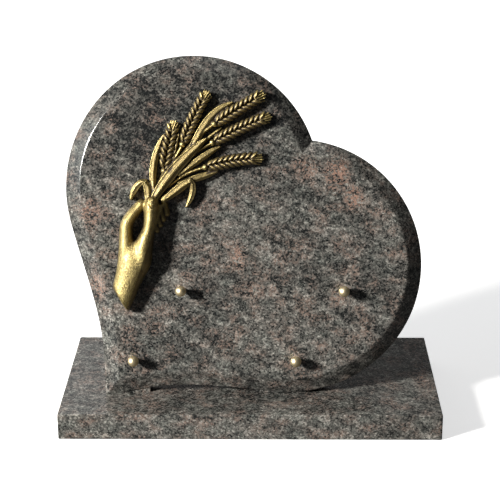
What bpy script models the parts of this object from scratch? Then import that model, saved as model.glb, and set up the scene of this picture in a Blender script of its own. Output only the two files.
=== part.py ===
"""Standing memorial plaque: a polished granite heart that leans back on a granite base.

A cast bronze hand holding five ears of wheat is fixed to the heart's left half, and four
brass studs with ball heads stand out of its lower half.  Metres, +Z up, the viewer at -Y,
the origin at the centre of the base's underside.
"""
import math

import bmesh
import bpy
from mathutils import Matrix, Vector

# Base slab
BASE_WIDTH = 0.350
BASE_DEPTH = 0.175
BASE_THICKNESS = 0.025
BASE_ARRIS = 0.0012

# Joints: a thin bed between pieces that rest on each other
JOINT_GAP = 0.0003

# Heart slab: its lean, how far its foot stands behind the base's front, and its front bevel
HEART_LEAN = math.radians(15.0)
HEART_SETBACK = 0.0465
HEART_THICKNESS = 0.025
HEART_SHIFT_X = -0.0060
BEVEL_WIDTH = 0.0155
BEVEL_DEPTH = 0.0100
BEVEL_PROFILE = ((0.0, 0.0), (0.05, 0.13), (0.70, 0.80), (0.84, 0.94), (1.0, 1.0))
BACK_ARRIS = 0.0012

# Heart outline, drawn upright from its notch and then turned on its side
NOTCH_TO_TIP = 0.3055
LOBE_OFFSET = 0.0610
LOBE_RADIUS = 0.1160
SHOULDER_RADIUS = 0.1245
SIDE_ANGLE = math.radians(53.5)
TIP_HALF_ANGLE = math.radians(41.0)
TIP_RUN = 0.034
LOWER_HOLLOW = 0.0015
HEART_TURN = math.radians(51.0)
LOBE_STEPS = 18
SHOULDER_STEPS = 9
SIDE_STEPS = 7

# Feet that the heart stands on, measured from its tip and from its lower lobe's lowest point
LOBE_LIFT = 0.0005
TIP_FOOT_LENGTH = 0.0415
TIP_FOOT_INSET = 0.0045
TIP_FOOT_RISE = 0.0084
LOBE_FOOT_BEFORE = 0.030
LOBE_FOOT_AFTER = 0.0175
LOBE_FOOT_RISE = 0.0050
FOOT_DROP = 0.0100

# Studs: two rows of two, one row shifted along
STUD_BALL_RADIUS = 0.0050
STUD_NECK_RADIUS = 0.0026
STUD_CENTRE_HEIGHT = 0.0100
STUD_SPACING = 0.1496
STUD_ROW_RISE = 0.0650
STUD_ROW_SHIFT = 0.0440
STUD_GROUP_ALONG = 0.571
STUD_GROUP_ACROSS = 0.177
STUD_SIDES = 16
STUD_BALL_STEPS = 7

# Bronze casting: its height sets its size, and all lengths on it are shares of that height.
# They start at the pinch, where thumb and finger meet, which is placed in lobe radii from
# the centre of the heart's left lobe.
CASTING_HEIGHT = 0.202
SHARES = 202.0
PINCH_LEFT = 0.318
PINCH_DOWN = 0.120
FLAT_ANGLE = math.radians(1.0)
BACK_NARROWING = 0.86

# Ears of wheat: stalk's length and bearing, ear's length and bearing, its width and its bow
EARS = (
    (27.0, 66.4, 48.4, 77.5, 12.0, 0.9),
    (56.1, 60.5, 55.5, 63.9, 11.6, 1.4),
    (87.9, 50.0, 55.2, 31.1, 12.6, 0.6),
    (74.4, 42.8, 60.2, 24.5, 12.0, 1.4),
    (55.7, 30.5, 54.7, 8.8, 12.6, 2.2),
)
EAR_CREST = 10.5
EAR_ROOT_SHARE = 0.5
EAR_WIDEST = 0.3
EAR_TOP_LOSS = 0.12
EAR_CHEVRON = 0.6
GRAIN_PITCH = 5.2
GRAIN_BULGE = 0.24
GRAIN_SKEW = 1.25
GRAIN_STEPS = 4
GRAIN_SECTION = ((-1.0, 0.5), (-0.72, 0.88), (-0.3, 1.0), (0.0, 0.84), (0.3, 1.0), (0.72, 0.88), (1.0, 0.5))

# The bristles at an ear's top: (place along them, spread), and how far their ridges stand out
TUFT_LENGTH = 9.5
TUFT_STATIONS = ((0.08, 0.72), (0.45, 0.84), (0.85, 0.98), (1.0, 0.86))
TUFT_SECTION = ((-1.0, 0.5), (-0.7, 0.9), (-0.36, 0.68), (0.0, 1.0), (0.36, 0.68), (0.7, 0.9), (1.0, 0.5))
TUFT_JAG = 1.6

# Stalks, each bent from the pinch to the root of its ear
STALK_WIDTH = 3.4
STALK_CREST = 7.5
STALK_START = (0.0, -2.0)
STALK_BOW = (-1.0, 2.0)
STALK_BEND = 0.35
STALK_ENTRY = 3.0
STALK_SECTION = ((-1.0, 0.5), (-0.6, 0.9), (0.0, 1.0), (0.6, 0.9), (1.0, 0.5))

# Leaves: the path's four guide points from the pinch, the width and the crest at its two ends
LEAVES = {
    "tall": (((2.0, 4.0), (-1.0, 22.0), (1.0, 40.0), (11.6, 59.0)), 7.2, 9.0, 6.5),
    "broad": (((1.5, -1.0), (10.0, 14.0), (24.0, 33.0), (50.0, 55.0)), 11.5, 13.0, 11.0),
    "high": (((33.0, 40.0), (43.0, 58.0), (52.0, 80.0), (74.0, 87.5)), 8.6, 9.0, 6.5),
    "slip": (((42.0, 46.0), (49.0, 53.0), (56.0, 59.0), (64.0, 64.5)), 3.2, 8.5, 6.5),
    "middle": (((24.0, 21.0), (37.0, 31.0), (49.0, 41.0), (63.0, 47.4)), 6.6, 9.0, 6.5),
    "low": (((24.0, 13.0), (36.0, 17.0), (47.0, 20.5), (60.0, 24.6)), 7.0, 8.0, 6.0),
    "awn": (((17.0, 26.0), (20.0, 38.0), (22.0, 48.0), (25.0, 59.5)), 2.6, 8.0, 7.0),
    "hung": (((8.0, -2.5), (23.0, 6.0), (31.0, 16.5), (36.5, 15.5)), 8.6, 10.0, 10.0),
    "hung_end": (((34.0, 17.0), (39.5, 14.5), (37.8, 2.0), (30.4, -8.2)), 6.2, 10.5, 6.0),
    "curl": (((-4.0, -5.0), (-3.0, 3.0), (-1.5, 12.0), (-9.0, 16.0)), 8.5, 10.0, 10.0),
    "curl_end": (((-5.0, 15.5), (-12.0, 17.0), (-17.5, 8.0), (-20.4, -2.0)), 6.5, 10.0, 6.0),
}
LEAF_STEPS = 7
LEAF_SECTION = ((-1.0, 0.76), (-0.8, 1.0), (-0.4, 0.84), (0.0, 1.0), (0.4, 0.84), (0.8, 1.0), (1.0, 0.76))
LEAF_ROOT_SHARE = 0.62
LEAF_WIDEST = 0.55
LEAF_TAPER = 1.6
LEAF_END_SHARE = 0.12

# Hand: each ring's left end, right end and crest, from the cut wrist upwards
FOREARM = (
    ((-36.3, -81.3), (-23.7, -103.6), 14.0),
    ((-33.8, -71.5), (-19.0, -90.5), 15.5),
    ((-31.9, -61.5), (-14.2, -79.0), 16.5),
    ((-31.0, -52.0), (-8.4, -67.0), 17.5),
    ((-30.6, -44.0), (-3.8, -56.5), 18.0),
    ((-30.3, -38.0), (-1.1, -47.5), 16.5),
    ((-28.6, -33.5), (-2.2, -39.5), 9.5),
)
THUMB = (
    ((-18.5, -52.0), (-7.0, -54.5), 11.5),
    ((-17.0, -44.5), (-2.6, -47.0), 15.5),
    ((-14.6, -36.5), (0.2, -39.0), 17.0),
    ((-9.0, -27.0), (2.2, -28.6), 17.5),
    ((-7.6, -17.0), (5.2, -17.4), 18.5),
    ((-7.8, -7.5), (7.0, -6.6), 19.0),
    ((-6.2, -2.0), (6.2, -1.2), 17.5),
    ((-3.0, 1.0), (3.2, 1.5), 14.0),
)
INDEX = (
    ((-30.4, -44.0), (-16.6, -43.0), 14.0),
    ((-30.2, -33.0), (-18.0, -33.0), 14.5),
    ((-29.4, -24.0), (-17.8, -25.5), 15.5),
    ((-27.0, -18.2), (-16.8, -22.0), 16.0),
    ((-22.6, -12.0), (-13.9, -18.0), 14.0),
    ((-16.6, -5.6), (-9.8, -12.4), 12.5),
    ((-12.8, -1.8), (-6.8, -7.6), 12.0),
    ((-9.9, -0.2), (-5.8, -3.9), 9.0),
)
DOME_STEPS = 8
DOME_SHOULDER = 0.30

# Curled fingers beside the thumb: (place along a finger, width, height) from its rounded end
FINGERS = 4
FINGER_LENGTH = 16.0
FINGER_WIDTH = 5.4
FINGER_CREST = 8.5
FINGER_CREST_STEP = 0.5
FINGER_STATIONS = ((0.0, 0.35, 0.6), (0.08, 0.75, 0.85), (0.25, 1.0, 1.0), (1.0, 1.0, 1.0))
FIRST_FINGER_END = (12.9, -10.0)
FINGER_STEP = (-3.3, -7.0)
FINGER_BEARING = 101.0


def clear_scene():
    """Remove whatever the file opened with."""
    for obj in list(bpy.data.objects):
        bpy.data.objects.remove(obj, do_unlink=True)


def make_material(name, colour, roughness, metallic):
    """A plain Principled finish."""
    material = bpy.data.materials.new(name)
    material.use_nodes = True
    shader = material.node_tree.nodes["Principled BSDF"]
    shader.inputs["Base Color"].default_value = (*colour, 1.0)
    shader.inputs["Roughness"].default_value = roughness
    shader.inputs["Metallic"].default_value = metallic
    return material


def add_object(name, bm, material, parent=None):
    """Turn a bmesh into a smooth-shaded object with sharp edges kept, under its parent."""
    bmesh.ops.recalc_face_normals(bm, faces=bm.faces)
    mesh = bpy.data.meshes.new(name)
    bm.to_mesh(mesh)
    bm.free()
    mesh.shade_smooth()
    mesh.set_sharp_from_angle(angle=math.radians(40.0))
    if material:
        mesh.materials.append(material)
    obj = bpy.data.objects.new(name, mesh)
    bpy.context.scene.collection.objects.link(obj)
    obj.parent = parent
    return obj


def box(low, high):
    """A box between two corners."""
    bm = bmesh.new()
    low, high = Vector(low), Vector(high)
    size = Matrix.Diagonal((*(high - low), 1.0))
    bmesh.ops.create_cube(bm, size=1.0, matrix=Matrix.Translation((low + high) / 2) @ size)
    return bm


def arc(centre, radius, start, end, steps):
    """Points on a circle's arc."""
    angles = [start + (end - start) * i / steps for i in range(steps + 1)]
    return [centre + radius * Vector((math.cos(a), math.sin(a))) for a in angles]


def bezier(guides, t):
    """A point on a cubic curve, and the direction there."""
    a, b, c, d = (Vector(guide) for guide in guides)
    u = 1.0 - t
    point = u ** 3 * a + 3 * u * u * t * b + 3 * u * t * t * c + t ** 3 * d
    way = u * u * (b - a) + 2 * u * t * (c - b) + t * t * (d - c)
    return point, way.normalized()


def half_heart(hollow):
    """Half of the upright heart from notch to tip, as (along the axis, across it)."""
    centre = Vector((-math.sqrt(LOBE_RADIUS ** 2 - LOBE_OFFSET ** 2), LOBE_OFFSET))
    start = -math.asin(LOBE_OFFSET / LOBE_RADIUS)
    quarter = math.pi / 2
    points = arc(centre, LOBE_RADIUS, start, quarter, LOBE_STEPS)
    shoulder = centre + Vector((0.0, LOBE_RADIUS - SHOULDER_RADIUS))
    points += arc(shoulder, SHOULDER_RADIUS, quarter, quarter + SIDE_ANGLE, SHOULDER_STEPS)[1:]
    tip = Vector((-NOTCH_TO_TIP, 0.0))
    rising = Vector((math.cos(TIP_HALF_ANGLE), math.sin(TIP_HALF_ANGLE)))
    falling = Vector((-math.cos(SIDE_ANGLE), -math.sin(SIDE_ANGLE)))
    side_start, side_end = points[-1], tip + TIP_RUN * rising
    reach = (side_end - side_start).length / 3
    inward = hollow * Vector((math.sin(TIP_HALF_ANGLE), -math.cos(TIP_HALF_ANGLE)))
    upper_guide = side_start + reach * falling + inward
    lower_guide = side_end + reach * rising + inward
    guides = (side_start, upper_guide, lower_guide, side_end)
    points += [bezier(guides, i / SIDE_STEPS)[0] for i in range(1, SIDE_STEPS + 1)]
    return points + [tip]


def turned(point):
    """A point of the upright heart, on the heart lying on its side."""
    return Matrix.Rotation(HEART_TURN, 2) @ point


def heart_places():
    """The turned outline, its shift to the foot line, and the places that hang on it."""
    upper = [turned(p) for p in half_heart(0.0)]
    lower = [turned(Vector((p.x, -p.y))) for p in half_heart(LOWER_HOLLOW)]
    outline = upper + lower[-2:0:-1]
    lobe_bottom = min(lower[:LOBE_STEPS + SHOULDER_STEPS], key=lambda p: p.y)
    middle = (min(p.x for p in outline) + max(p.x for p in outline)) / 2
    shift = Vector((HEART_SHIFT_X - middle, LOBE_LIFT - lobe_bottom.y))
    centre = Vector((-math.sqrt(LOBE_RADIUS ** 2 - LOBE_OFFSET ** 2), LOBE_OFFSET))
    studs = Vector((-STUD_GROUP_ALONG, -STUD_GROUP_ACROSS)) * NOTCH_TO_TIP
    return {
        "outline": [p + shift for p in outline],
        "lobe_bottom": lobe_bottom + shift,
        "tip": turned(Vector((-NOTCH_TO_TIP, 0.0))) + shift,
        "left_lobe": turned(centre) + shift,
        "stud_group": turned(studs) + shift,
    }


def bevel_steps():
    """The front bevel's profile as steps in and up: a flat with a rounded inner arris."""
    return [
        ((b[0] - a[0]) * BEVEL_WIDTH, (b[1] - a[1]) * BEVEL_DEPTH)
        for a, b in zip(BEVEL_PROFILE, BEVEL_PROFILE[1:])
    ]


def step_in(bm, face, inward, outward):
    """Grow a narrower, higher step out of a face."""
    bmesh.ops.inset_region(bm, faces=[face], thickness=inward, depth=outward, use_even_offset=True)


def heart_blank(outline):
    """The bevelled heart, its bevel's outer end in the plane Z = 0 of the leaning frame."""
    bm = bmesh.new()
    front = bm.faces.new([bm.verts.new((p.x, p.y, 0.0)) for p in outline])
    edge_depth = HEART_THICKNESS - BEVEL_DEPTH - BACK_ARRIS
    grown = bmesh.ops.extrude_face_region(bm, geom=[front])
    back_verts = [v for v in grown["geom"] if isinstance(v, bmesh.types.BMVert)]
    back = [f for f in grown["geom"] if isinstance(f, bmesh.types.BMFace)][0]
    bmesh.ops.translate(bm, verts=back_verts, vec=(0.0, 0.0, -edge_depth))
    bmesh.ops.recalc_face_normals(bm, faces=bm.faces)
    step_in(bm, back, BACK_ARRIS, BACK_ARRIS)
    front = max(bm.faces, key=lambda f: (f.calc_center_median().z, f.calc_area()))
    for inward, outward in bevel_steps():
        step_in(bm, front, inward, outward)
    return bm


def helper_object(name, bm, parent):
    """A shape that only joins or cuts another one."""
    obj = add_object(name, bm, None, parent)
    obj.hide_render = True
    obj.display_type = "WIRE"
    return obj


def add_boolean(obj, operation, helper):
    """A Boolean on the object with one helper."""
    modifier = obj.modifiers.new(helper.name, "BOOLEAN")
    modifier.solver = "EXACT"
    modifier.operation = operation
    modifier.object = helper


def whole_parts(bm):
    """The mesh's faces, sorted into parts that hang together along edges."""
    left, parts = set(bm.faces), []
    while left:
        part, edge_of_part = set(), {left.pop()}
        while edge_of_part:
            part |= edge_of_part
            near = {f for face in edge_of_part for edge in face.edges for f in edge.link_faces}
            edge_of_part = near - part
        left -= part
        parts.append(part)
    return parts


def settle(obj):
    """Apply the joins, drop the specks that they leave and merge faces that lie flat."""
    joined = obj.evaluated_get(bpy.context.evaluated_depsgraph_get())
    mesh = bpy.data.meshes.new_from_object(joined)
    obj.modifiers.clear()
    bm = bmesh.new()
    bm.from_mesh(mesh)
    parts = sorted(whole_parts(bm), key=len)
    bmesh.ops.delete(bm, geom=[face for part in parts[:-1] for face in part], context="FACES")
    bmesh.ops.dissolve_limit(bm, angle_limit=FLAT_ANGLE, verts=bm.verts, edges=bm.edges)
    bmesh.ops.triangulate(bm, faces=bm.faces)
    bm.to_mesh(mesh)
    bm.free()
    obj.data = mesh


def build_base(granite):
    """The base slab with its arrises taken off."""
    half = Vector((BASE_WIDTH / 2, BASE_DEPTH / 2, 0.0))
    bm = box(-half, half + Vector((0.0, 0.0, BASE_THICKNESS)))
    bmesh.ops.bevel(
        bm, geom=bm.edges[:], offset=BASE_ARRIS, segments=1, profile=0.5, affect="EDGES", material=-1
    )
    return add_object("base_slab", bm, granite)


def build_heart(frame, places, granite):
    """The heart slab: bevelled blank, two small feet, cut level on the base's top."""
    heart = add_object("heart_slab", heart_blank(places["outline"]), granite, frame)
    tip, lobe = places["tip"], places["lobe_bottom"]
    back = -(HEART_THICKNESS - BEVEL_DEPTH - BACK_ARRIS)
    spans = {
        "tip_foot": (tip.x + TIP_FOOT_INSET, tip.x + TIP_FOOT_LENGTH, tip.y + TIP_FOOT_RISE),
        "lobe_foot": (lobe.x - LOBE_FOOT_BEFORE, lobe.x + LOBE_FOOT_AFTER, lobe.y + LOBE_FOOT_RISE),
    }
    for name, (start, end, top) in spans.items():
        bm = box((start, -FOOT_DROP, back), (end, top, -JOINT_GAP))
        add_boolean(heart, "UNION", helper_object(name, bm, frame))
    reach = BASE_WIDTH
    below = box((-reach, -reach, -reach), (reach, 0.0, reach))
    bmesh.ops.rotate(below, verts=below.verts, matrix=Matrix.Rotation(HEART_LEAN, 3, "X"))
    add_boolean(heart, "DIFFERENCE", helper_object("foot_cut", below, frame))
    return heart


def build_stud(name, place, frame, brass):
    """A ball head on a short neck, turned about the face's normal."""
    angle = math.asin(STUD_NECK_RADIUS / STUD_BALL_RADIUS)
    profile = [Vector((0.0, 0.0, 0.0)), Vector((STUD_NECK_RADIUS, 0.0, 0.0))]
    for i in range(STUD_BALL_STEPS + 1):
        turn = angle + (math.pi - angle) * i / STUD_BALL_STEPS
        out = STUD_BALL_RADIUS * math.sin(turn)
        up = STUD_CENTRE_HEIGHT - STUD_BALL_RADIUS * math.cos(turn)
        profile.append(Vector((max(out, 0.0), 0.0, up)))
    bm = bmesh.new()
    verts = [bm.verts.new(p) for p in profile]
    edges = [bm.edges.new(pair) for pair in zip(verts, verts[1:])]
    bmesh.ops.spin(
        bm, geom=verts + edges, axis=(0, 0, 1), cent=(0, 0, 0),
        angle=math.tau, steps=STUD_SIDES, use_merge=True
    )
    bmesh.ops.remove_doubles(bm, verts=bm.verts, dist=JOINT_GAP / 10)
    stud = add_object(name, bm, brass, frame)
    stud.location = (place.x, place.y, BEVEL_DEPTH + JOINT_GAP)
    return stud


def build_studs(frame, places, brass):
    """Two rows of two studs about the group's centre."""
    for row, row_name in ((-0.5, "lower"), (0.5, "upper")):
        for side, side_name in ((-0.5, "left"), (0.5, "right")):
            offset = Vector((side * STUD_SPACING + row * STUD_ROW_SHIFT, row * STUD_ROW_RISE))
            build_stud(f"stud_{row_name}_{side_name}", places["stud_group"] + offset, frame, brass)


def heading(bearing):
    """The way that a bearing in degrees points, counted from the right."""
    angle = math.radians(bearing)
    return Vector((math.cos(angle), math.sin(angle)))


def with_back(section):
    """A relief section as (across, height) points, closed by two points on the flat back."""
    return [(-BACK_NARROWING, 0.0), *section, (BACK_NARROWING, 0.0)]


def dome_section():
    """A rounded relief section."""
    turns = [math.pi * i / DOME_STEPS for i in range(DOME_STEPS + 1)]
    rise = 1.0 - DOME_SHOULDER
    return [(-math.cos(turn), DOME_SHOULDER + rise * math.sin(turn)) for turn in turns]


def ring(left, right, crest, section):
    """One ring of a relief shape between two points of the casting's plane."""
    middle, half = (Vector(left) + Vector(right)) / 2, (Vector(right) - Vector(left)) / 2
    points = []
    for across, height in with_back(section):
        place = middle + across * half
        points.append((place.x, place.y, height * crest))
    return points


def loft(rings):
    """A closed shape through rings of as many points each, in shares of the casting."""
    bm = bmesh.new()
    scale = CASTING_HEIGHT / SHARES
    loops = []
    for points in rings:
        verts = [bm.verts.new(Vector(p) * scale) for p in points]
        loops.append([bm.edges.new((a, b)) for a, b in zip(verts, verts[1:] + verts[:1])])
    for near, far in zip(loops, loops[1:]):
        bmesh.ops.bridge_loops(bm, edges=near + far)
    for end in (loops[0], loops[-1]):
        bmesh.ops.contextual_create(bm, geom=end)
    return bm


def hand_part(stations):
    """A part of the hand through its stations."""
    return loft([ring(left, right, crest, dome_section()) for left, right, crest in stations])


def finger(number):
    """The rounded end of a curled finger beside the thumb."""
    end = Vector(FIRST_FINGER_END) + number * Vector(FINGER_STEP)
    way = heading(FINGER_BEARING)
    side = Vector((way.y, -way.x)) * FINGER_WIDTH / 2
    crest = FINGER_CREST + number * FINGER_CREST_STEP
    rings = []
    for share, width, height in FINGER_STATIONS:
        middle = end + way * share * FINGER_LENGTH
        left, right = middle - width * side, middle + width * side
        rings.append(ring(left, right, height * crest, dome_section()))
    return loft(rings)


def leaf(guides, width, first_crest, last_crest):
    """A grooved leaf: it widens from its root, then narrows to a point."""
    rings = []
    for i in range(LEAF_STEPS + 1):
        t = i / LEAF_STEPS
        middle, way = bezier(guides, t)
        grown = math.sin(math.pi / 2 * min(1.0, t / LEAF_WIDEST))
        left_over = max(0.0, (t - LEAF_WIDEST) / (1.0 - LEAF_WIDEST))
        taper = math.sqrt(max(0.0, 1.0 - left_over ** LEAF_TAPER))
        spread = (LEAF_ROOT_SHARE + (1.0 - LEAF_ROOT_SHARE) * grown) * max(taper, LEAF_END_SHARE)
        half = Vector((-way.y, way.x)) * spread * width / 2
        crest = first_crest + (last_crest - first_crest) * t
        rings.append(ring(middle + half, middle - half, crest, LEAF_SECTION))
    return loft(rings)


def stalk(length, bearing, ear_bearing):
    """A thin stalk from the pinch to its ear."""
    end, out = length * heading(bearing), heading(ear_bearing)
    bend = STALK_BEND * end + Vector(STALK_BOW)
    guides = (Vector(STALK_START), bend, end - STALK_BEND * length * out, end + STALK_ENTRY * out)
    rings = []
    for i in range(LEAF_STEPS + 1):
        middle, way = bezier(guides, i / LEAF_STEPS)
        half = Vector((-way.y, way.x)) * STALK_WIDTH / 2
        rings.append(ring(middle + half, middle - half, STALK_CREST, STALK_SECTION))
    return loft(rings)


def ear_share(t):
    """An ear's width along its grains as a share of its full width: a slim root and top."""
    grown = math.sin(math.pi / 2 * min(1.0, t / EAR_WIDEST))
    return EAR_ROOT_SHARE + (1.0 - EAR_ROOT_SHARE) * grown - EAR_TOP_LOSS * max(0.0, t - EAR_WIDEST)


def ear(stalk_length, stalk_bearing, length, bearing, width, bow):
    """An ear: two rows of grains in chevrons as one swelling shape, then a tuft of bristles."""
    root, way = stalk_length * heading(stalk_bearing), heading(bearing)
    left = Vector((-way.y, way.x))
    rows = length - TUFT_LENGTH
    grains = round(rows / GRAIN_PITCH)
    pitch = rows / grains

    def spot(along, across, size, height):
        t = along / length
        side = 4 * bow * t * (1 - t) - across * size * width / 2
        place = root + along * way + side * left
        return place.x, place.y, height * size * EAR_CREST

    rings = []
    for step in range(grains * GRAIN_STEPS):
        place = step / GRAIN_STEPS
        points = []
        for across, height in with_back(GRAIN_SECTION):
            phase = (place + (0.0 if across <= 0 else 0.5)) % 1.0
            swell = math.sin(math.pi * phase ** GRAIN_SKEW)
            size = ear_share(place / grains) * (1.0 - GRAIN_BULGE * (1.0 - swell))
            along = (place + EAR_CHEVRON * (abs(across) - 0.5)) * pitch
            points.append(spot(along, across, size, height))
        rings.append(points)
    for share, spread in TUFT_STATIONS:
        points = []
        for across, height in with_back(TUFT_SECTION):
            along = rows + share * (TUFT_LENGTH - TUFT_JAG * (1.0 - height))
            points.append(spot(along, across, spread, height))
        rings.append(points)
    return loft(rings)


def build_casting(frame, places, bronze):
    """The hand and the wheat: relief shapes joined into one casting with a flat back."""
    place = places["left_lobe"] - LOBE_RADIUS * Vector((PINCH_LEFT, PINCH_DOWN))
    pieces = {"thumb": hand_part(THUMB), "index": hand_part(INDEX)}
    pieces.update({f"finger_{i + 1}": finger(i) for i in range(FINGERS)})
    pieces.update({f"leaf_{name}": leaf(*sizes) for name, sizes in LEAVES.items()})
    for number, sizes in enumerate(EARS, 1):
        stalk_length, stalk_bearing, _, bearing, _, _ = sizes
        pieces[f"ear_{number}"] = ear(*sizes)
        pieces[f"stalk_{number}"] = stalk(stalk_length, stalk_bearing, bearing)
    casting = add_object("hand_and_wheat", hand_part(FOREARM), bronze, frame)
    helpers = [helper_object(name, bm, frame) for name, bm in pieces.items()]
    for obj in (casting, *helpers):
        obj.location = (place.x, place.y, BEVEL_DEPTH + JOINT_GAP)
    for helper in helpers:
        add_boolean(casting, "UNION", helper)
    settle(casting)


def main():
    clear_scene()
    granite = make_material("granite", (0.085, 0.078, 0.072), 0.18, 0.0)
    bronze = make_material("patinated_bronze", (0.42, 0.30, 0.11), 0.38, 1.0)
    brass = make_material("polished_brass", (0.80, 0.62, 0.28), 0.20, 1.0)
    frame = bpy.data.objects.new("leaning_frame", None)
    bpy.context.scene.collection.objects.link(frame)
    frame.location = (0.0, HEART_SETBACK - BASE_DEPTH / 2, BASE_THICKNESS + JOINT_GAP)
    frame.rotation_euler = (math.pi / 2 - HEART_LEAN, 0.0, 0.0)
    places = heart_places()
    build_base(granite)
    build_heart(frame, places, granite)
    build_casting(frame, places, bronze)
    build_studs(frame, places, brass)


main()
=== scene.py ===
"""Dresses a standing memorial plaque: granite heart and base, bronze hand with wheat, brass studs.

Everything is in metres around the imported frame.  The casting alone is first shaped in
millimetres, flat on its own plane, and then laid on the heart.
"""

import math

import bmesh
import bpy
import numpy as np
from bpy.props import FloatProperty, FloatVectorProperty, IntProperty, PointerProperty
from mathutils import Matrix, Vector


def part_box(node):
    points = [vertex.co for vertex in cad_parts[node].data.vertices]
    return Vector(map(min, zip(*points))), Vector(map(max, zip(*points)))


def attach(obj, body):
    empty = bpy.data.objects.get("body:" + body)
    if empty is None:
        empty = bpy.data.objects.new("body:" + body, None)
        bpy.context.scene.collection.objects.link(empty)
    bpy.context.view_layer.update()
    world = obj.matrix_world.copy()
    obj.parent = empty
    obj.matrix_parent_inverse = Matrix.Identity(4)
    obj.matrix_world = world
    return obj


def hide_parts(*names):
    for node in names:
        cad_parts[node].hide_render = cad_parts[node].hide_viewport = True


bl_info = {
    "name": "Heart Plaque",
    "version": (1, 0, 0),
    "blender": (4, 5, 0),
    "location": "3D View > Sidebar > Plaque",
    "description": "Builds a granite heart plaque with a bronze hand holding wheat",
    "category": "Object",
}

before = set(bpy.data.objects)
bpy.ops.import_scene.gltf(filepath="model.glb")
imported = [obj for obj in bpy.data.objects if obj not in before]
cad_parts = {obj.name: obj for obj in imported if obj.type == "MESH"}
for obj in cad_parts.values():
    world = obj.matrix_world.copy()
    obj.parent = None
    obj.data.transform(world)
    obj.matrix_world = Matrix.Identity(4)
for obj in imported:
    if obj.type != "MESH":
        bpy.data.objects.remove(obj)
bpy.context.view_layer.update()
BASE_LOW, BASE_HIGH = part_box("base_slab")
BODY = "root"
MM = 0.001

# Heart: its lean, where its foot stands, and its outline, drawn upright and then turned
HEART_LEAN = math.radians(15.0)
HEART_SETBACK = 0.0465
JOINT_GAP = 0.0003
HEART_THICKNESS = 0.025
HEART_SHIFT_X = -0.0060
NOTCH_TO_TIP = 0.3055
LOBE_OFFSET = 0.0610
LOBE_RADIUS = 0.1160
SHOULDER_RADIUS = 0.1245
SIDE_ANGLE = math.radians(53.5)
TIP_HALF_ANGLE = math.radians(41.0)
TIP_RUN = 0.034
LOWER_HOLLOW = 0.0015
HEART_TURN = math.radians(51.0)
LOBE_LIFT = 0.0005
TIP_FOOT = (0.0045, 0.0415, 0.0084)
LOBE_FOOT = (-0.030, 0.0175, 0.0050)
FOOT_DROP = 0.010
HEART_CREASE = math.radians(28.0)

# Heart bevel, as (inward, outward) corners in metres, and how far each corner is rounded
BEVEL_OUTER = (0.0, 0.00078)
BEVEL_INNER = (0.01386, 0.0100)
BEVEL_DEPTH = 0.0100
OUTER_ROUND = 0.00076
INNER_ROUND = 0.0016

# Studs, in two rows about a centre given as shares of the heart's length
STUD_SPACING = 0.1496
STUD_ROW_RISE = 0.0650
STUD_ROW_SHIFT = 0.0440
STUD_GROUP = (0.571, 0.177)
STUD_CREASE = math.radians(40.0)

# Casting: the pinch of thumb and finger, in lobe radii from the left lobe's centre
PINCH_LEFT = 0.318
PINCH_DOWN = 0.120
BACK_NARROWING = 0.9
BACK_CUT = 0.3
MOST_TRIANGLES = 190000

# Ears: stalk's length and bearing, ear's length and bearing, its width and its bow
EARS = (
    (27.0, 66.4, 48.4, 77.5, 12.0, 0.9),
    (56.1, 60.5, 55.5, 63.9, 11.6, 1.4),
    (87.9, 50.0, 55.2, 31.1, 12.6, 0.6),
    (74.4, 42.8, 60.2, 24.5, 12.0, 1.4),
    (55.7, 30.5, 54.7, 8.8, 12.6, 2.2),
)
EAR_CREST = 9.6
EAR_ROOT_SHARE = 0.55
EAR_WIDEST = 0.3
EAR_TOP_LOSS = 0.12
KNUCKLE_RADIUS = 2.9
KNUCKLE_PLACE = 0.6
KNUCKLE_SINK = 1.2
CORE_WIDTH = 0.33
CORE_DROP = 3.4
CORE_END = 2.0

# One grain of an ear, and how it sits in its row.  GRAIN_SIZES: its size where the ear is slimmest, and
# what it gains where the ear is full
GRAIN_LENGTH = 10.0
GRAIN_WIDTH = 3.85
GRAIN_HEIGHT = 6.2
GRAIN_SPREAD = 33.0
GRAIN_PITCH_UP = 5.0
GRAIN_ROLL = 12.0
GRAIN_SIDE = 0.268
GRAIN_TAPER = 0.36
GRAIN_KEEL = 0.10
GRAIN_START = 1.3
GRAIN_SIZES = (0.72, 0.28)
EAR_CREST_FALL = 0.7

# The bristles at an ear's top
TUFT_LENGTH = 9.5
BRISTLE_RADII = (0.62, 0.66)
BRISTLE_ROOT_SPREAD = 0.30
BRISTLE_END_SPREAD = 0.47
BRISTLE_ROUNDING = 4.2
BRISTLE_HEIGHT = 8.2
BRISTLE_END_DROP = 1.6
BRISTLE_EDGE_DROP = 3.2
TUFT_CORE_CREST = 5.2
BRISTLE_ROOT = 2.0
BRISTLE_STAGGER = 0.8

# Stalks
STALK_WIDTH = 3.4
STALK_CREST = 7.5
STALK_START = (0.0, -2.0)
STALK_BOW = (-1.0, 2.0)
STALK_BEND = 0.35
STALK_ENTRY = 3.0

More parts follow.
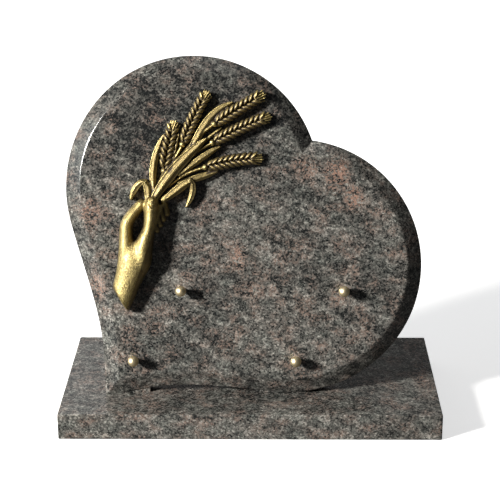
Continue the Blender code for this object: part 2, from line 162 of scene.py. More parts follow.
# Leaves: the path's four guide points, the width and the crest at its two ends
LEAVES = {
    "tall": (((2.0, 4.0), (-1.0, 22.0), (1.0, 40.0), (11.6, 59.0)), 7.2, 9.0, 6.5),
    "broad": (((1.5, -1.0), (10.0, 14.0), (24.0, 33.0), (50.0, 55.0)), 11.5, 13.0, 11.0),
    "high": (((33.0, 40.0), (43.0, 58.0), (52.0, 80.0), (74.0, 87.5)), 8.6, 9.0, 6.5),
    "slip": (((42.0, 46.0), (49.0, 53.0), (56.0, 59.0), (64.0, 64.5)), 3.2, 8.5, 6.5),
    "middle": (((24.0, 21.0), (37.0, 31.0), (49.0, 41.0), (63.0, 47.4)), 6.6, 9.0, 6.5),
    "low": (((24.0, 13.0), (36.0, 17.0), (47.0, 20.5), (60.0, 24.6)), 7.0, 8.0, 6.0),
    "awn": (((17.0, 26.0), (20.0, 38.0), (22.0, 48.0), (25.0, 59.5)), 2.6, 8.0, 7.0),
    "hung": (((8.0, -2.5), (23.0, 6.0), (31.0, 16.5), (36.5, 15.5)), 8.6, 10.0, 10.0),
    "hung_end": (((34.0, 17.0), (39.5, 14.5), (37.8, 2.0), (30.4, -8.2)), 6.2, 10.5, 6.0),
    "curl": (((-4.0, -5.0), (-3.0, 3.0), (-1.5, 12.0), (-9.0, 16.0)), 8.5, 10.0, 10.0),
    "curl_end": (((-5.0, 15.5), (-12.0, 17.0), (-17.5, 8.0), (-20.4, -2.0)), 6.5, 10.0, 6.0),
}
LEAF_STEPS = 26
LEAF_ROOT_SHARE = 0.62
LEAF_WIDEST = 0.55
LEAF_TAPER = 1.6
LEAF_END_SHARE = 0.10
LEAF_RIDGE = 0.16
LEAF_FALLS = (0.16, 0.34)
LEAF_ROOF = 1.2
LEAF_VEINS = 0.012
VEIN_COUNT = 3.5
RIM_PLACE = 0.84
RIM_WIDTH = 0.13
RIM_RISE = 0.08
RIM_EDGE_DROP = 0.30

# Hand: each ring's left end, right end and crest
FOREARM = (
    (-37.1, -80.8, -22.6, -104.4, 13.0),
    (-36.5, -78.5, -21.7, -102.2, 14.6),
    (-34.6, -71.0, -16.9, -92.4, 15.8),
    (-32.7, -61.0, -11.9, -80.6, 17.0),
    (-31.7, -51.6, -6.0, -68.6, 18.0),
    (-31.2, -45.5, -3.0, -59.4, 17.5),
    (-30.6, -40.5, -1.6, -51.0, 15.5),
    (-29.5, -35.6, -4.0, -42.6, 10.5),
)
THUMB = (
    (-24.0, -66.0, -9.0, -74.0, 10.0),
    (-20.0, -57.6, -3.2, -64.5, 17.0),
    (-18.0, -49.6, -0.8, -55.0, 19.3),
    (-16.8, -43.0, 0.0, -46.6, 19.2),
    (-14.0, -36.0, 1.2, -38.5, 18.6),
    (-9.0, -27.0, 2.6, -28.6, 18.4),
    (-7.8, -17.0, 5.0, -17.4, 18.5),
    (-8.0, -7.5, 6.3, -6.6, 19.0),
    (-6.2, -2.0, 5.6, -1.2, 17.5),
    (-3.0, 1.4, 3.2, 1.8, 15.0),
)
INDEX = (
    (-30.8, -64.0, -17.0, -68.0, 9.0),
    (-31.0, -56.0, -17.5, -58.0, 14.5),
    (-31.2, -48.0, -17.8, -48.5, 16.0),
    (-31.0, -40.0, -17.8, -40.0, 15.5),
    (-30.6, -32.0, -18.0, -32.5, 15.0),
    (-29.8, -24.0, -17.8, -25.5, 15.0),
    (-27.4, -18.0, -16.8, -22.0, 15.0),
    (-22.8, -11.6, -13.7, -18.0, 14.0),
    (-16.8, -5.2, -9.8, -12.4, 12.5),
    (-12.8, -1.4, -6.8, -7.6, 12.0),
    (-9.9, 0.2, -5.8, -3.9, 9.0),
)
HAND_RINGS = 36
WEB_PASSES = 5
WEB_ROUNDS = 24
HAND_ROUNDS = 48
HAND_GIVE_BACK = 0.6
DOME_STEPS = 20
DOME_SHOULDER = 0.30
HAND_SHOULDER = 0.20
HAND_FULLNESS = 0.9
HAND_SKEW = 0.04

# Curled fingers beside the thumb: (place along a finger, width, height) from its rounded end
FINGERS = 4
FINGER_LENGTH = 17.0
FINGER_WIDTH = 6.0
FINGER_CREST = 8.5
FINGER_CREST_STEP = 0.4
FINGER_STATIONS = (
    (0.0, 0.45, 0.5),
    (0.05, 0.8, 0.8),
    (0.13, 1.0, 0.95),
    (0.3, 1.0, 1.0),
    (1.0, 0.9, 1.0),
)
FIRST_FINGER_END = (13.4, -17.2)
FINGER_STEP = (-3.1, -5.0)
FINGER_BEARING = 99.0

# The slanted line between thumb and curled fingers, and where the fingers' tops lie
FINGERS_EDGE = 6.6
FINGERS_SLOPE = -0.35
FINGERS_LEVEL = -17.0
FINGER_TOPS = (-10.0, -6.0)

# Where the skin stops counting as the hand's: towards the wheat, the cut wrist and the flat back
WHEAT_WIDENING = 0.35
WHEAT_RISE = 0.6
WHEAT_LEVEL = 10.0
WHEAT_FADE = (-4.5, 2.0)
WRIST_FADE = (0.6, 2.4)
BACK_FADE = (0.6, 2.5)

# How the hand's skin is drawn smooth: its pull to its neighbours, and the part that works inwards
SKIN_PULL = 0.6
INWARD_PULL = 0.1

# The thumb's nail: the groove of its curved lower edge on the casting's plane
NAIL_CENTRE = (1.6, -3.0)
NAIL_HALF = (3.7, 4.6)
NAIL_GROOVE = 1.3
NAIL_GROOVE_WIDTH = 0.65
NAIL_SPAN = (-0.55, 0.1)
NAIL_HEIGHTS = (9.0, 12.0)

# Patina and painted shade: what any skin has, what depths of crease and valley count as full, and what
# each part adds. Creases and valleys take patina; the skin near the stone, the opening between thumb and
# finger and the curled fingers take painted shade
MIDDLE_PATINA = 0.45
CREASE_DEPTH = 0.80
VALLEY_DEPTH = 1.9
CREASE_ROUNDS = 5
VALLEY_ROUNDS = 45
# Painted shade on the skin near the stone, fading out between the low heights
LOW_SHADE = 0.20
LOW_HEIGHTS = (1.0, 7.0)
HAND_PATINA = -0.20
HAND_EVENNESS = 0.9
WHEAT_PATINA = 0.08
EAR_PATINA = 0.26
EAR_CONTRAST = 2.2
EAR_DULLEST = 0.52
# Painted shadow of the thumb on the curled fingers
FINGER_SHADOW = 0.08
# Painted shade low in the opening between thumb and finger: its middle, half sizes and share
OPENING_SHADE = ((-13.6, -25.0), (8.2, 16.5), 0.46)
OPENING_FADE = (0.6, 1.1)
OPENING_HEIGHTS = (10.0, 15.0)

# The thin wax that the bronze is rubbed with, and the brass where it is worn
WAX_WEIGHT = 0.25
WAX_ROUGHNESS = 0.34
WORN_BRASS = (0.50, 0.34, 0.13, 1.0)

# Camera of the view that the plaque is shown in: place, turn and lens for a 500 pixel frame
VIEW_PLACE = (0.0187, -1.2706, 0.6257)
VIEW_PITCH = math.radians(20.44)
VIEW_YAW = math.radians(-0.86)
VIEW_ROLL = math.radians(-0.25)
VIEW_FOCUS = 1456.3
VIEW_PIXELS = 500
SENSOR = 36.0

# Stone: the slope of its veins, and where it is pinker, paler or darker, as (x, z, half sizes, share)
VEIN_TURN = math.radians(-28.0)
VEIN_SCALE = (28.0, 45.0, 80.0)
CLUSTER_SCALE = (150.0, 170.0, 190.0)
PATCH_SCALE = (62.0, 70.0, 80.0)
PATCH_SHIFT = (3.1, 0.7, 5.2)
GRAIN_DRIFT = (0.0035, 0.0035, 0.0035)
STONE_TONES = ((0.05, 0.0), (0.25, 0.10), (0.42, 0.24), (0.58, 0.42), (0.85, 1.0))
STONE_DEPTH = 0.07
PINK_PLACES = (
    (-0.145, 0.193, 0.011, 0.014, 0.8),
    (-0.139, 0.125, 0.010, 0.015, 0.8),
    (0.052, 0.233, 0.014, 0.013, 0.7),
    (0.081, 0.227, 0.013, 0.018, 0.9),
    (0.097, 0.205, 0.009, 0.013, 1.0),
    (-0.009, 0.152, 0.009, 0.014, 0.8),
    (0.0045, 0.122, 0.014, 0.010, 0.7),
    (-0.0215, 0.073, 0.012, 0.014, 0.7),
    (0.0415, 0.057, 0.014, 0.013, 0.8),
    (0.085, 0.118, 0.013, 0.012, 0.6),
    (-0.119, 0.064, 0.010, 0.011, 0.7),
    (-0.086, 0.089, 0.012, 0.009, 0.6),
    (-0.085, 0.277, 0.012, 0.010, 0.5),
    (-0.085, 0.019, 0.040, 0.010, 0.6),
    (0.165, 0.016, 0.010, 0.016, 0.8),
    (0.077, 0.020, 0.012, 0.010, 0.6),
)
PINK_REACH = 1.3
COOL_TINT = (0.86, 0.98, 0.98, 1.0)
TONE_PLACES = (
    (-0.080, 0.285, 0.085, 0.070, -0.19),
    (-0.010, 0.275, 0.070, 0.060, -0.11),
    (0.078, 0.229, 0.050, 0.030, 0.05),
    (-0.120, 0.110, 0.050, 0.060, 0.04),
    (0.115, 0.150, 0.050, 0.070, -0.04),
    (0.020, 0.085, 0.060, 0.040, 0.04),
)
FRONT_PALE = ((0.0, -0.0875, 0.0125), (0.60, 0.010, 0.030), 0.08)

# Stage: what the floor gives back to the plaque, the room's tones, and a tall cool window on the left
FLOOR_BOUNCE = (0.10, 0.10, 0.10, 1.0)
FLOOR_GLOW = 0.55
ROOM_FRONT = (0.035, 0.036, 0.038, 1.0)
ROOM_BACK = (0.13, 0.13, 0.13, 1.0)
WINDOW_WAY = (-0.93, -0.36, 0.08)
WINDOW_EDGE = (0.86, 0.95)
WINDOW_TONE = (0.15, 0.33, 0.49, 1.0)
WHITE = (1.0, 1.0, 1.0, 1.0)

# Each light's place, target, width and colour
MIDDLE = (0.0, 0.0, 0.17)
LIGHTS = {
    "key": ((-2.59, -1.62, 1.42), MIDDLE, 0.50, (1.0, 0.975, 0.93)),
    "overhead": ((0.2, 0.5, 2.2), MIDDLE, 1.6, (0.95, 0.98, 1.0)),
    "back": ((0.9, 2.2, 0.35), MIDDLE, 1.2, WHITE[:3]),
    "card": ((-0.62, 0.62, 0.32), (-0.20, 0.0, 0.05), 0.9, WHITE[:3]),
}


def length_setting(name, about, default, low, high):
    """A length that a maker may change."""
    return FloatProperty(name=name, description=about, default=default, min=low, max=high, unit="LENGTH")


def power_setting(name, about, default, high):
    """A light's power that a maker may change."""
    return FloatProperty(name=name, description=about, default=default, min=0.0, max=high, unit="POWER")


def colour_setting(name, about, default):
    """A colour that a maker may change."""
    return FloatVectorProperty(name=name, description=about, default=default, size=3, subtype="COLOR")


class StoneSizes(bpy.types.PropertyGroup):
    """Sizes of the two granite slabs that a maker may change."""

    base_arris: length_setting(
        "Base Arris", "Width of the rounded edges of the base", 0.0012, 0.0002, 0.005
    )
    back_arris: length_setting(
        "Back Arris", "Width of the edge round the heart's back", 0.0012, 0.0002, 0.005
    )
    arc_steps: IntProperty(
        name="Arc Steps", description="Straight pieces in each lobe of the heart",
        default=64, min=8, max=200,
    )


class CastingSizes(bpy.types.PropertyGroup):
    """Sizes of the bronze casting that a maker may change."""

    fineness: FloatProperty(
        name="Fineness", description="Cell size of the casting's joined surface, in millimetres",
        default=0.42, min=0.3, max=2.0,
    )
    grain_pitch: FloatProperty(
        name="Grain Pitch", description="Distance between grains of a row, in millimetres",
        default=5.2, min=3.0, max=9.0,
    )
    bristles: IntProperty(
        name="Bristles", description="Bristles across the top of each ear",
        default=6, min=3, max=15,
    )


class StudSizes(bpy.types.PropertyGroup):
    """Sizes of the ball-headed studs."""

    ball_radius: length_setting("Ball Radius", "Radius of a stud's ball head", 0.0050, 0.002, 0.01)
    neck_radius: length_setting("Neck Radius", "Radius of a stud's neck", 0.0026, 0.001, 0.005)
    centre_height: length_setting(
        "Centre Height", "Height of the ball's centre above the stone", 0.0100, 0.004, 0.03
    )


class Finishes(bpy.types.PropertyGroup):
    """Colours of the stone and the metals."""

    stone_dark: colour_setting(
        "Dark Grains", "Colour of the stone's darkest grains", (0.009, 0.010, 0.010)
    )
    stone_pale: colour_setting(
        "Pale Grains", "Colour of the stone's palest grains", (0.315, 0.298, 0.268)
    )
    stone_pink: colour_setting(
        "Pink Grains", "Colour of the stone's pinkish brown grains", (0.245, 0.145, 0.108)
    )
    bronze: colour_setting(
        "Rubbed Bronze", "Colour of the bronze where it is rubbed bright", (0.56, 0.446, 0.185)
    )
    dull_bronze: colour_setting(
        "Dull Bronze", "Colour of the bronze where it is seldom touched", (0.200, 0.153, 0.066)
    )
    # Patina in the hollows, also used as painted shade near the stone, in the opening and on the curled
    # fingers
    patina_and_shade: colour_setting("Patina", "Colour of the bronze in its hollows", (0.030, 0.019, 0.008))
    brass: colour_setting("Polished Brass", "Colour of the studs", (0.80, 0.68, 0.44))


class StageSettings(bpy.types.PropertyGroup):
    """Strength of the studio light and tone of the floor."""

    key_power: power_setting("Key Light", "Power of the low light from the left", 316.0, 2000.0)
    fill_power: power_setting("Fill Light", "Power of the wide light above", 4.0, 500.0)
    back_power: power_setting(
        "Back Light", "Power of the quiet light on the plaque's back", 34.0, 500.0
    )
    card_power: power_setting(
        "Back Card", "Power of the bright card behind on the left", 1.6, 100.0
    )
    floor_tone: FloatProperty(
        name="Floor Tone", description="Paleness of the floor",
        default=0.86, min=0.0, max=1.0, subtype="FACTOR",
    )


# Shapes


def heading(bearing):
    """The way that a bearing in degrees points, counted from the right."""
    angle = math.radians(bearing)
    return Vector((math.cos(angle), math.sin(angle)))


def left_of(way):
    """The way to the left of another."""
    return Vector((-way.y, way.x))


def bezier(guides, t):
    """A point on a cubic curve, and the direction there."""
    a, b, c, d = (Vector(guide) for guide in guides)
    u = 1.0 - t
    point = u ** 3 * a + 3 * u * u * t * b + 3 * u * t * t * c + t ** 3 * d
    way = u * u * (b - a) + 2 * u * t * (c - b) + t * t * (d - c)
    return point, way.normalized()


def corner_curve(corner, before, after, reach, steps):
    """A rounded corner between two straight ways, as points."""
    corner, before, after = Vector(corner), Vector(before).normalized(), Vector(after).normalized()
    start, end = corner - reach * before, corner + reach * after
    curve = []
    for step in range(steps + 1):
        t = step / steps
        curve.append((1 - t) ** 2 * start + 2 * t * (1 - t) * corner + t * t * end)
    return curve


def through(stations, share):
    """The station at a share of the way through a list, blended smoothly between them."""
    last = len(stations) - 1
    number = min(int(share * last), last - 1)
    t = share * last - number
    rows = [np.array(stations[min(max(number + step, 0), last)]) for step in (-1, 0, 1, 2)]
    a, b, c, d = rows
    bend = 2 * a - 5 * b + 4 * c - d + t * (3 * (b - c) + d - a)
    return b + 0.5 * t * (c - a + t * bend)


def arc(centre, radius, start, end, steps):
    """Points on a circle's arc."""
    angles = [start + (end - start) * i / steps for i in range(steps + 1)]
    return [centre + radius * Vector((math.cos(a), math.sin(a))) for a in angles]


def loft(rings):
    """A closed shape through rings of as many points each."""
    bm = bmesh.new()
    loops = []
    for points in rings:
        verts = [bm.verts.new(point) for point in points]
        loops.append([bm.edges.new((a, b)) for a, b in zip(verts, verts[1:] + verts[:1])])
    for near, far in zip(loops, loops[1:]):
        bmesh.ops.bridge_loops(bm, edges=near + far)
    for end in (loops[0], loops[-1]):
        bmesh.ops.contextual_create(bm, geom=end)
    bmesh.ops.recalc_face_normals(bm, faces=bm.faces)
    return bm


def box(low, high):
    """A box between two corners."""
    bm = bmesh.new()
    low, high = Vector(low), Vector(high)
    size = Matrix.Diagonal((*(high - low), 1.0))
    bmesh.ops.create_cube(bm, size=1.0, matrix=Matrix.Translation((low + high) / 2) @ size)
    return bm


def add_object(name, bm):
    """An object at the origin with a bmesh's shape."""
    mesh = bpy.data.meshes.new(name)
    bm.to_mesh(mesh)
    bm.free()
    obj = bpy.data.objects.new(name, mesh)
    bpy.context.scene.collection.objects.link(obj)
    return obj


def seat(piece, node, slot):
    """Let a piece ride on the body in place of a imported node, in a finish of the record."""
    piece.data.materials.append(finish_for(slot))
    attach(piece, BODY)
    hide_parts(node)


def apply_modifiers(obj):
    """Make an object's mesh what its modifiers show."""
    shown = obj.evaluated_get(bpy.context.evaluated_depsgraph_get())
    mesh = bpy.data.meshes.new_from_object(shown)
    obj.modifiers.clear()
    obj.data = mesh


def join_with(obj, operation, bm):
    """Add or cut away a shape."""
    helper = add_object("helper", bm)
    modifier = obj.modifiers.new("Shape", "BOOLEAN")
    modifier.solver = "EXACT"
    modifier.operation = operation
    modifier.object = helper
    apply_modifiers(obj)
    bpy.data.objects.remove(helper, do_unlink=True)


# Heart's places


def lobe_centre():
    """The centre of the upright heart's left lobe."""
    return Vector((-math.sqrt(LOBE_RADIUS ** 2 - LOBE_OFFSET ** 2), LOBE_OFFSET))


def half_heart(hollow, steps):
    """Half of the upright heart from notch to tip, as (along the axis, across it)."""
    centre = lobe_centre()
    start = -math.asin(LOBE_OFFSET / LOBE_RADIUS)
    quarter = math.pi / 2
    points = arc(centre, LOBE_RADIUS, start, quarter, steps)
    shoulder = centre + Vector((0.0, LOBE_RADIUS - SHOULDER_RADIUS))
    points += arc(shoulder, SHOULDER_RADIUS, quarter, quarter + SIDE_ANGLE, steps // 2)[1:]
    tip = Vector((-NOTCH_TO_TIP, 0.0))
    rising = Vector((math.cos(TIP_HALF_ANGLE), math.sin(TIP_HALF_ANGLE)))
    falling = Vector((-math.cos(SIDE_ANGLE), -math.sin(SIDE_ANGLE)))
    side_start, side_end = points[-1], tip + TIP_RUN * rising
    reach = (side_end - side_start).length / 3
    inward = hollow * Vector((math.sin(TIP_HALF_ANGLE), -math.cos(TIP_HALF_ANGLE)))
    upper_guide = side_start + reach * falling + inward
    lower_guide = side_end + reach * rising + inward
    guides = (side_start, upper_guide, lower_guide, side_end)
    side_steps = steps // 3
    points += [bezier(guides, i / side_steps)[0] for i in range(1, side_steps + 1)]
    return points + [tip]


def turned(point):
    """A point of the upright heart, on the heart lying on its side."""
    return Matrix.Rotation(HEART_TURN, 2) @ point


def heart_places(steps):
    """The turned outline, shifted to its foot line, and the places that hang on it."""
    upper = [turned(p) for p in half_heart(0.0, steps)]
    lower = [turned(Vector((p.x, -p.y))) for p in half_heart(LOWER_HOLLOW, steps)]
    outline = upper + lower[-2:0:-1]
    lobe_bottom = min(lower[:steps + steps // 2], key=lambda p: p.y)
    middle = (min(p.x for p in outline) + max(p.x for p in outline)) / 2
    shift = Vector((HEART_SHIFT_X - middle, LOBE_LIFT - lobe_bottom.y))
    along, across = STUD_GROUP
    return {
        "outline": [p + shift for p in outline],
        "lobe_bottom": lobe_bottom + shift,
        "tip": turned(Vector((-NOTCH_TO_TIP, 0.0))) + shift,
        "left_lobe": turned(lobe_centre()) + shift,
        "studs": turned(Vector((-along, -across)) * NOTCH_TO_TIP) + shift,
    }


def leaning(x, up, out):
    """A matrix that lays a shape on the leaning heart, out from its bevel's outer end."""
    foot = Vector((0.0, BASE_LOW.y + HEART_SETBACK, BASE_HIGH.z + JOINT_GAP))
    lean = Matrix.Rotation(math.pi / 2 - HEART_LEAN, 4, "X")
    return Matrix.Translation(foot) @ lean @ Matrix.Translation((x, up, out))


# Heart and base


def bevel_steps():
    """The front bevel as steps in and up: a flat between two rounded arrises."""
    slope = Vector(BEVEL_INNER) - Vector(BEVEL_OUTER)
    outer = corner_curve(BEVEL_OUTER, (0.0, 1.0), slope, OUTER_ROUND, 4)
    inner = corner_curve(BEVEL_INNER, slope, (1.0, 0.0), INNER_ROUND, 8)
    profile = [Vector((0.0, 0.0))] + outer + inner
    return [b - a for a, b in zip(profile, profile[1:])]


def step_in(bm, face, inward, outward):
    """Grow a narrower, higher step out of a face."""
    bmesh.ops.inset_region(bm, faces=[face], thickness=inward, depth=outward, use_even_offset=True)


def heart_blank(outline, back_arris):
    """The bevelled heart, flat on its plane, with its large flats kept flat in shading."""
    bm = bmesh.new()
    front = bm.faces.new([bm.verts.new((p.x, p.y, 0.0)) for p in outline])
    edge_depth = HEART_THICKNESS - BEVEL_DEPTH - back_arris
    grown = bmesh.ops.extrude_face_region(bm, geom=[front])
    back_verts = [v for v in grown["geom"] if isinstance(v, bmesh.types.BMVert)]
    back = [f for f in grown["geom"] if isinstance(f, bmesh.types.BMFace)][0]
    bmesh.ops.translate(bm, verts=back_verts, vec=(0.0, 0.0, -edge_depth))
    bmesh.ops.recalc_face_normals(bm, faces=bm.faces)
    step_in(bm, back, back_arris, back_arris)
    front = max(bm.faces, key=lambda f: (f.calc_center_median().z, f.calc_area()))
    for step in bevel_steps():
        step_in(bm, front, step.x, step.y)
    for face in bm.faces:
        face.smooth = face not in (front, back)
    return bm


def build_heart(sizes):
    """The heart slab on its two feet, cut level on the base."""
    places = heart_places(sizes.arc_steps)
    heart = add_object("heart_stone", heart_blank(places["outline"], sizes.back_arris))
    back = BEVEL_DEPTH + sizes.back_arris - HEART_THICKNESS
    for foot, place in ((TIP_FOOT, places["tip"]), (LOBE_FOOT, places["lobe_bottom"])):
        start, end, rise = foot
        low = (place.x + start, -FOOT_DROP, back)
        high = (place.x + end, place.y + rise, -JOINT_GAP)
        join_with(heart, "UNION", box(low, high))
    heart.data.transform(leaning(0.0, 0.0, 0.0))
    reach = BASE_HIGH.x - BASE_LOW.x
    level = BASE_HIGH.z + JOINT_GAP
    join_with(heart, "DIFFERENCE", box((-reach, -reach, level - reach), (reach, reach, level)))
    heart.data.set_sharp_from_angle(angle=HEART_CREASE)
    return heart


def build_base(sizes):
    """The base slab with rounded arrises."""
    bm = box(BASE_LOW, BASE_HIGH)
    arrises = bmesh.ops.bevel(
        bm, geom=bm.edges[:], offset=sizes.base_arris, segments=4, profile=0.5,
        affect="EDGES", material=-1,
    )
    for face in arrises["faces"]:
        face.smooth = True
    return add_object("base_stone", bm)


# Studs


def build_stud(name, place, sizes):
    """A turned ball head on a short neck."""
    ball, neck, centre = sizes.ball_radius, sizes.neck_radius, sizes.centre_height
    angle = math.asin(neck / ball)
    profile = [Vector((0.0, 0.0, 0.0)), Vector((neck, 0.0, 0.0))]
    steps = 28
    for i in range(steps + 1):
        turn = angle + (math.pi - angle) * i / steps
        profile.append(Vector((max(ball * math.sin(turn), 0.0), 0.0, centre - ball * math.cos(turn))))
    bm = bmesh.new()
    verts = [bm.verts.new(p) for p in profile]
    edges = [bm.edges.new(pair) for pair in zip(verts, verts[1:])]
    bmesh.ops.spin(
        bm, geom=verts + edges, axis=(0, 0, 1), cent=(0, 0, 0),
        angle=math.tau, steps=56, use_merge=True,
    )
    bmesh.ops.remove_doubles(bm, verts=bm.verts, dist=JOINT_GAP / 10)
    bmesh.ops.recalc_face_normals(bm, faces=bm.faces)
    bmesh.ops.transform(
        bm, verts=bm.verts, matrix=leaning(place.x, place.y, BEVEL_DEPTH + JOINT_GAP)
    )
    stud = add_object(name, bm)
    stud.data.shade_smooth()
    stud.data.set_sharp_from_angle(angle=STUD_CREASE)
    return stud


# Casting


def dome_section(shoulder=DOME_SHOULDER, fullness=1.0):
    """A rounded relief section as (across, height), flatter on top the lower its fullness."""
    turns = [math.pi * i / DOME_STEPS for i in range(DOME_STEPS + 1)]
    heights = [shoulder + (1.0 - shoulder) * abs(math.sin(turn)) ** fullness for turn in turns]
    return [(-math.cos(turn), height) for turn, height in zip(turns, heights)]


def bump_at(across, place, width):
    """A smooth rise of one about a place."""
    return math.exp(-((across - place) / width) ** 2)


def leaf_section():
    """A leaf's section: a shallow roof with its ridge off the middle, between two thin rims."""
    section = []
    steps = 30
    for step in range(steps + 1):
        across = -1.0 + 2.0 * step / steps
        on_left = across < LEAF_RIDGE
        side = 1.0 + LEAF_RIDGE if on_left else 1.0 - LEAF_RIDGE
        fall = LEAF_FALLS[0] if on_left else LEAF_FALLS[1]
        height = 1.0 - fall * (abs(across - LEAF_RIDGE) / side) ** LEAF_ROOF
        rims = bump_at(across, -RIM_PLACE, RIM_WIDTH) + bump_at(across, RIM_PLACE, RIM_WIDTH)
        height += RIM_RISE * rims
        height += LEAF_VEINS * math.cos(math.tau * VEIN_COUNT * across)
        height -= RIM_EDGE_DROP * max(0.0, (abs(across) - RIM_PLACE) / (1.0 - RIM_PLACE)) ** 2
        section.append((across, height))
    return section


def ring(left, right, crest, section):
    """One ring of a relief shape between two points of the casting's plane, with a flat back."""
    middle, half = (Vector(left) + Vector(right)) / 2, (Vector(right) - Vector(left)) / 2
    closed = [(-BACK_NARROWING, 0.0), *section, (BACK_NARROWING, 0.0)]
    return [(*(middle + across * half), height * crest) for across, height in closed]


def hand_part(stations):
    """A part of the hand, smooth through its stations."""
    rings = []
    for step in range(HAND_RINGS + 1):
        x0, y0, x1, y1, crest = through(stations, step / HAND_RINGS)
        dome = dome_section(HAND_SHOULDER, HAND_FULLNESS)
        section = [(across + HAND_SKEW * (1.0 - across ** 2), height) for across, height in dome]
        rings.append(ring((x0, y0), (x1, y1), crest, section))
    return loft(rings)


def finger(number):
    """The rounded end of a curled finger beside the thumb."""
    end = Vector(FIRST_FINGER_END) + number * Vector(FINGER_STEP)
    way = heading(FINGER_BEARING)
    side = -left_of(way) * FINGER_WIDTH / 2
    crest = FINGER_CREST + number * FINGER_CREST_STEP
    rings = []
    for share, width, height in FINGER_STATIONS:
        middle = end + way * share * FINGER_LENGTH
        rings.append(ring(middle - width * side, middle + width * side, height * crest, dome_section()))
    return loft(rings)


def leaf(guides, width, first_crest, last_crest):
    """A leaf with raised rims: it widens from its root, then narrows to a point."""
    rings = []
    for i in range(LEAF_STEPS + 1):
        t = i / LEAF_STEPS
        middle, way = bezier(guides, t)
        grown = math.sin(math.pi / 2 * min(1.0, t / LEAF_WIDEST))
        left_over = max(0.0, (t - LEAF_WIDEST) / (1.0 - LEAF_WIDEST))
        taper = math.sqrt(max(0.0, 1.0 - left_over ** LEAF_TAPER))
        spread = (LEAF_ROOT_SHARE + (1.0 - LEAF_ROOT_SHARE) * grown) * max(taper, LEAF_END_SHARE)
        half = left_of(way) * spread * width / 2
        crest = first_crest + (last_crest - first_crest) * t
        rings.append(ring(middle + half, middle - half, crest, leaf_section()))
    return loft(rings)


def stalk(length, bearing, ear_bearing):
    """A thin round stalk from the pinch to its ear."""
    end, out = length * heading(bearing), heading(ear_bearing)
    bend = STALK_BEND * end + Vector(STALK_BOW)
    guides = (Vector(STALK_START), bend, end - STALK_BEND * length * out, end + STALK_ENTRY * out)
    rings = []
    for i in range(LEAF_STEPS + 1):
        middle, way = bezier(guides, i / LEAF_STEPS)
        half = left_of(way) * STALK_WIDTH / 2
        rings.append(ring(middle + half, middle - half, STALK_CREST, dome_section()))
    return loft(rings)


def ear_share(t):
    """An ear's width along its grains as a share of its full width: a slim root and top."""
    grown = math.sin(math.pi / 2 * min(1.0, t / EAR_WIDEST))
    return EAR_ROOT_SHARE + (1.0 - EAR_ROOT_SHARE) * grown - EAR_TOP_LOSS * max(0.0, t - EAR_WIDEST)


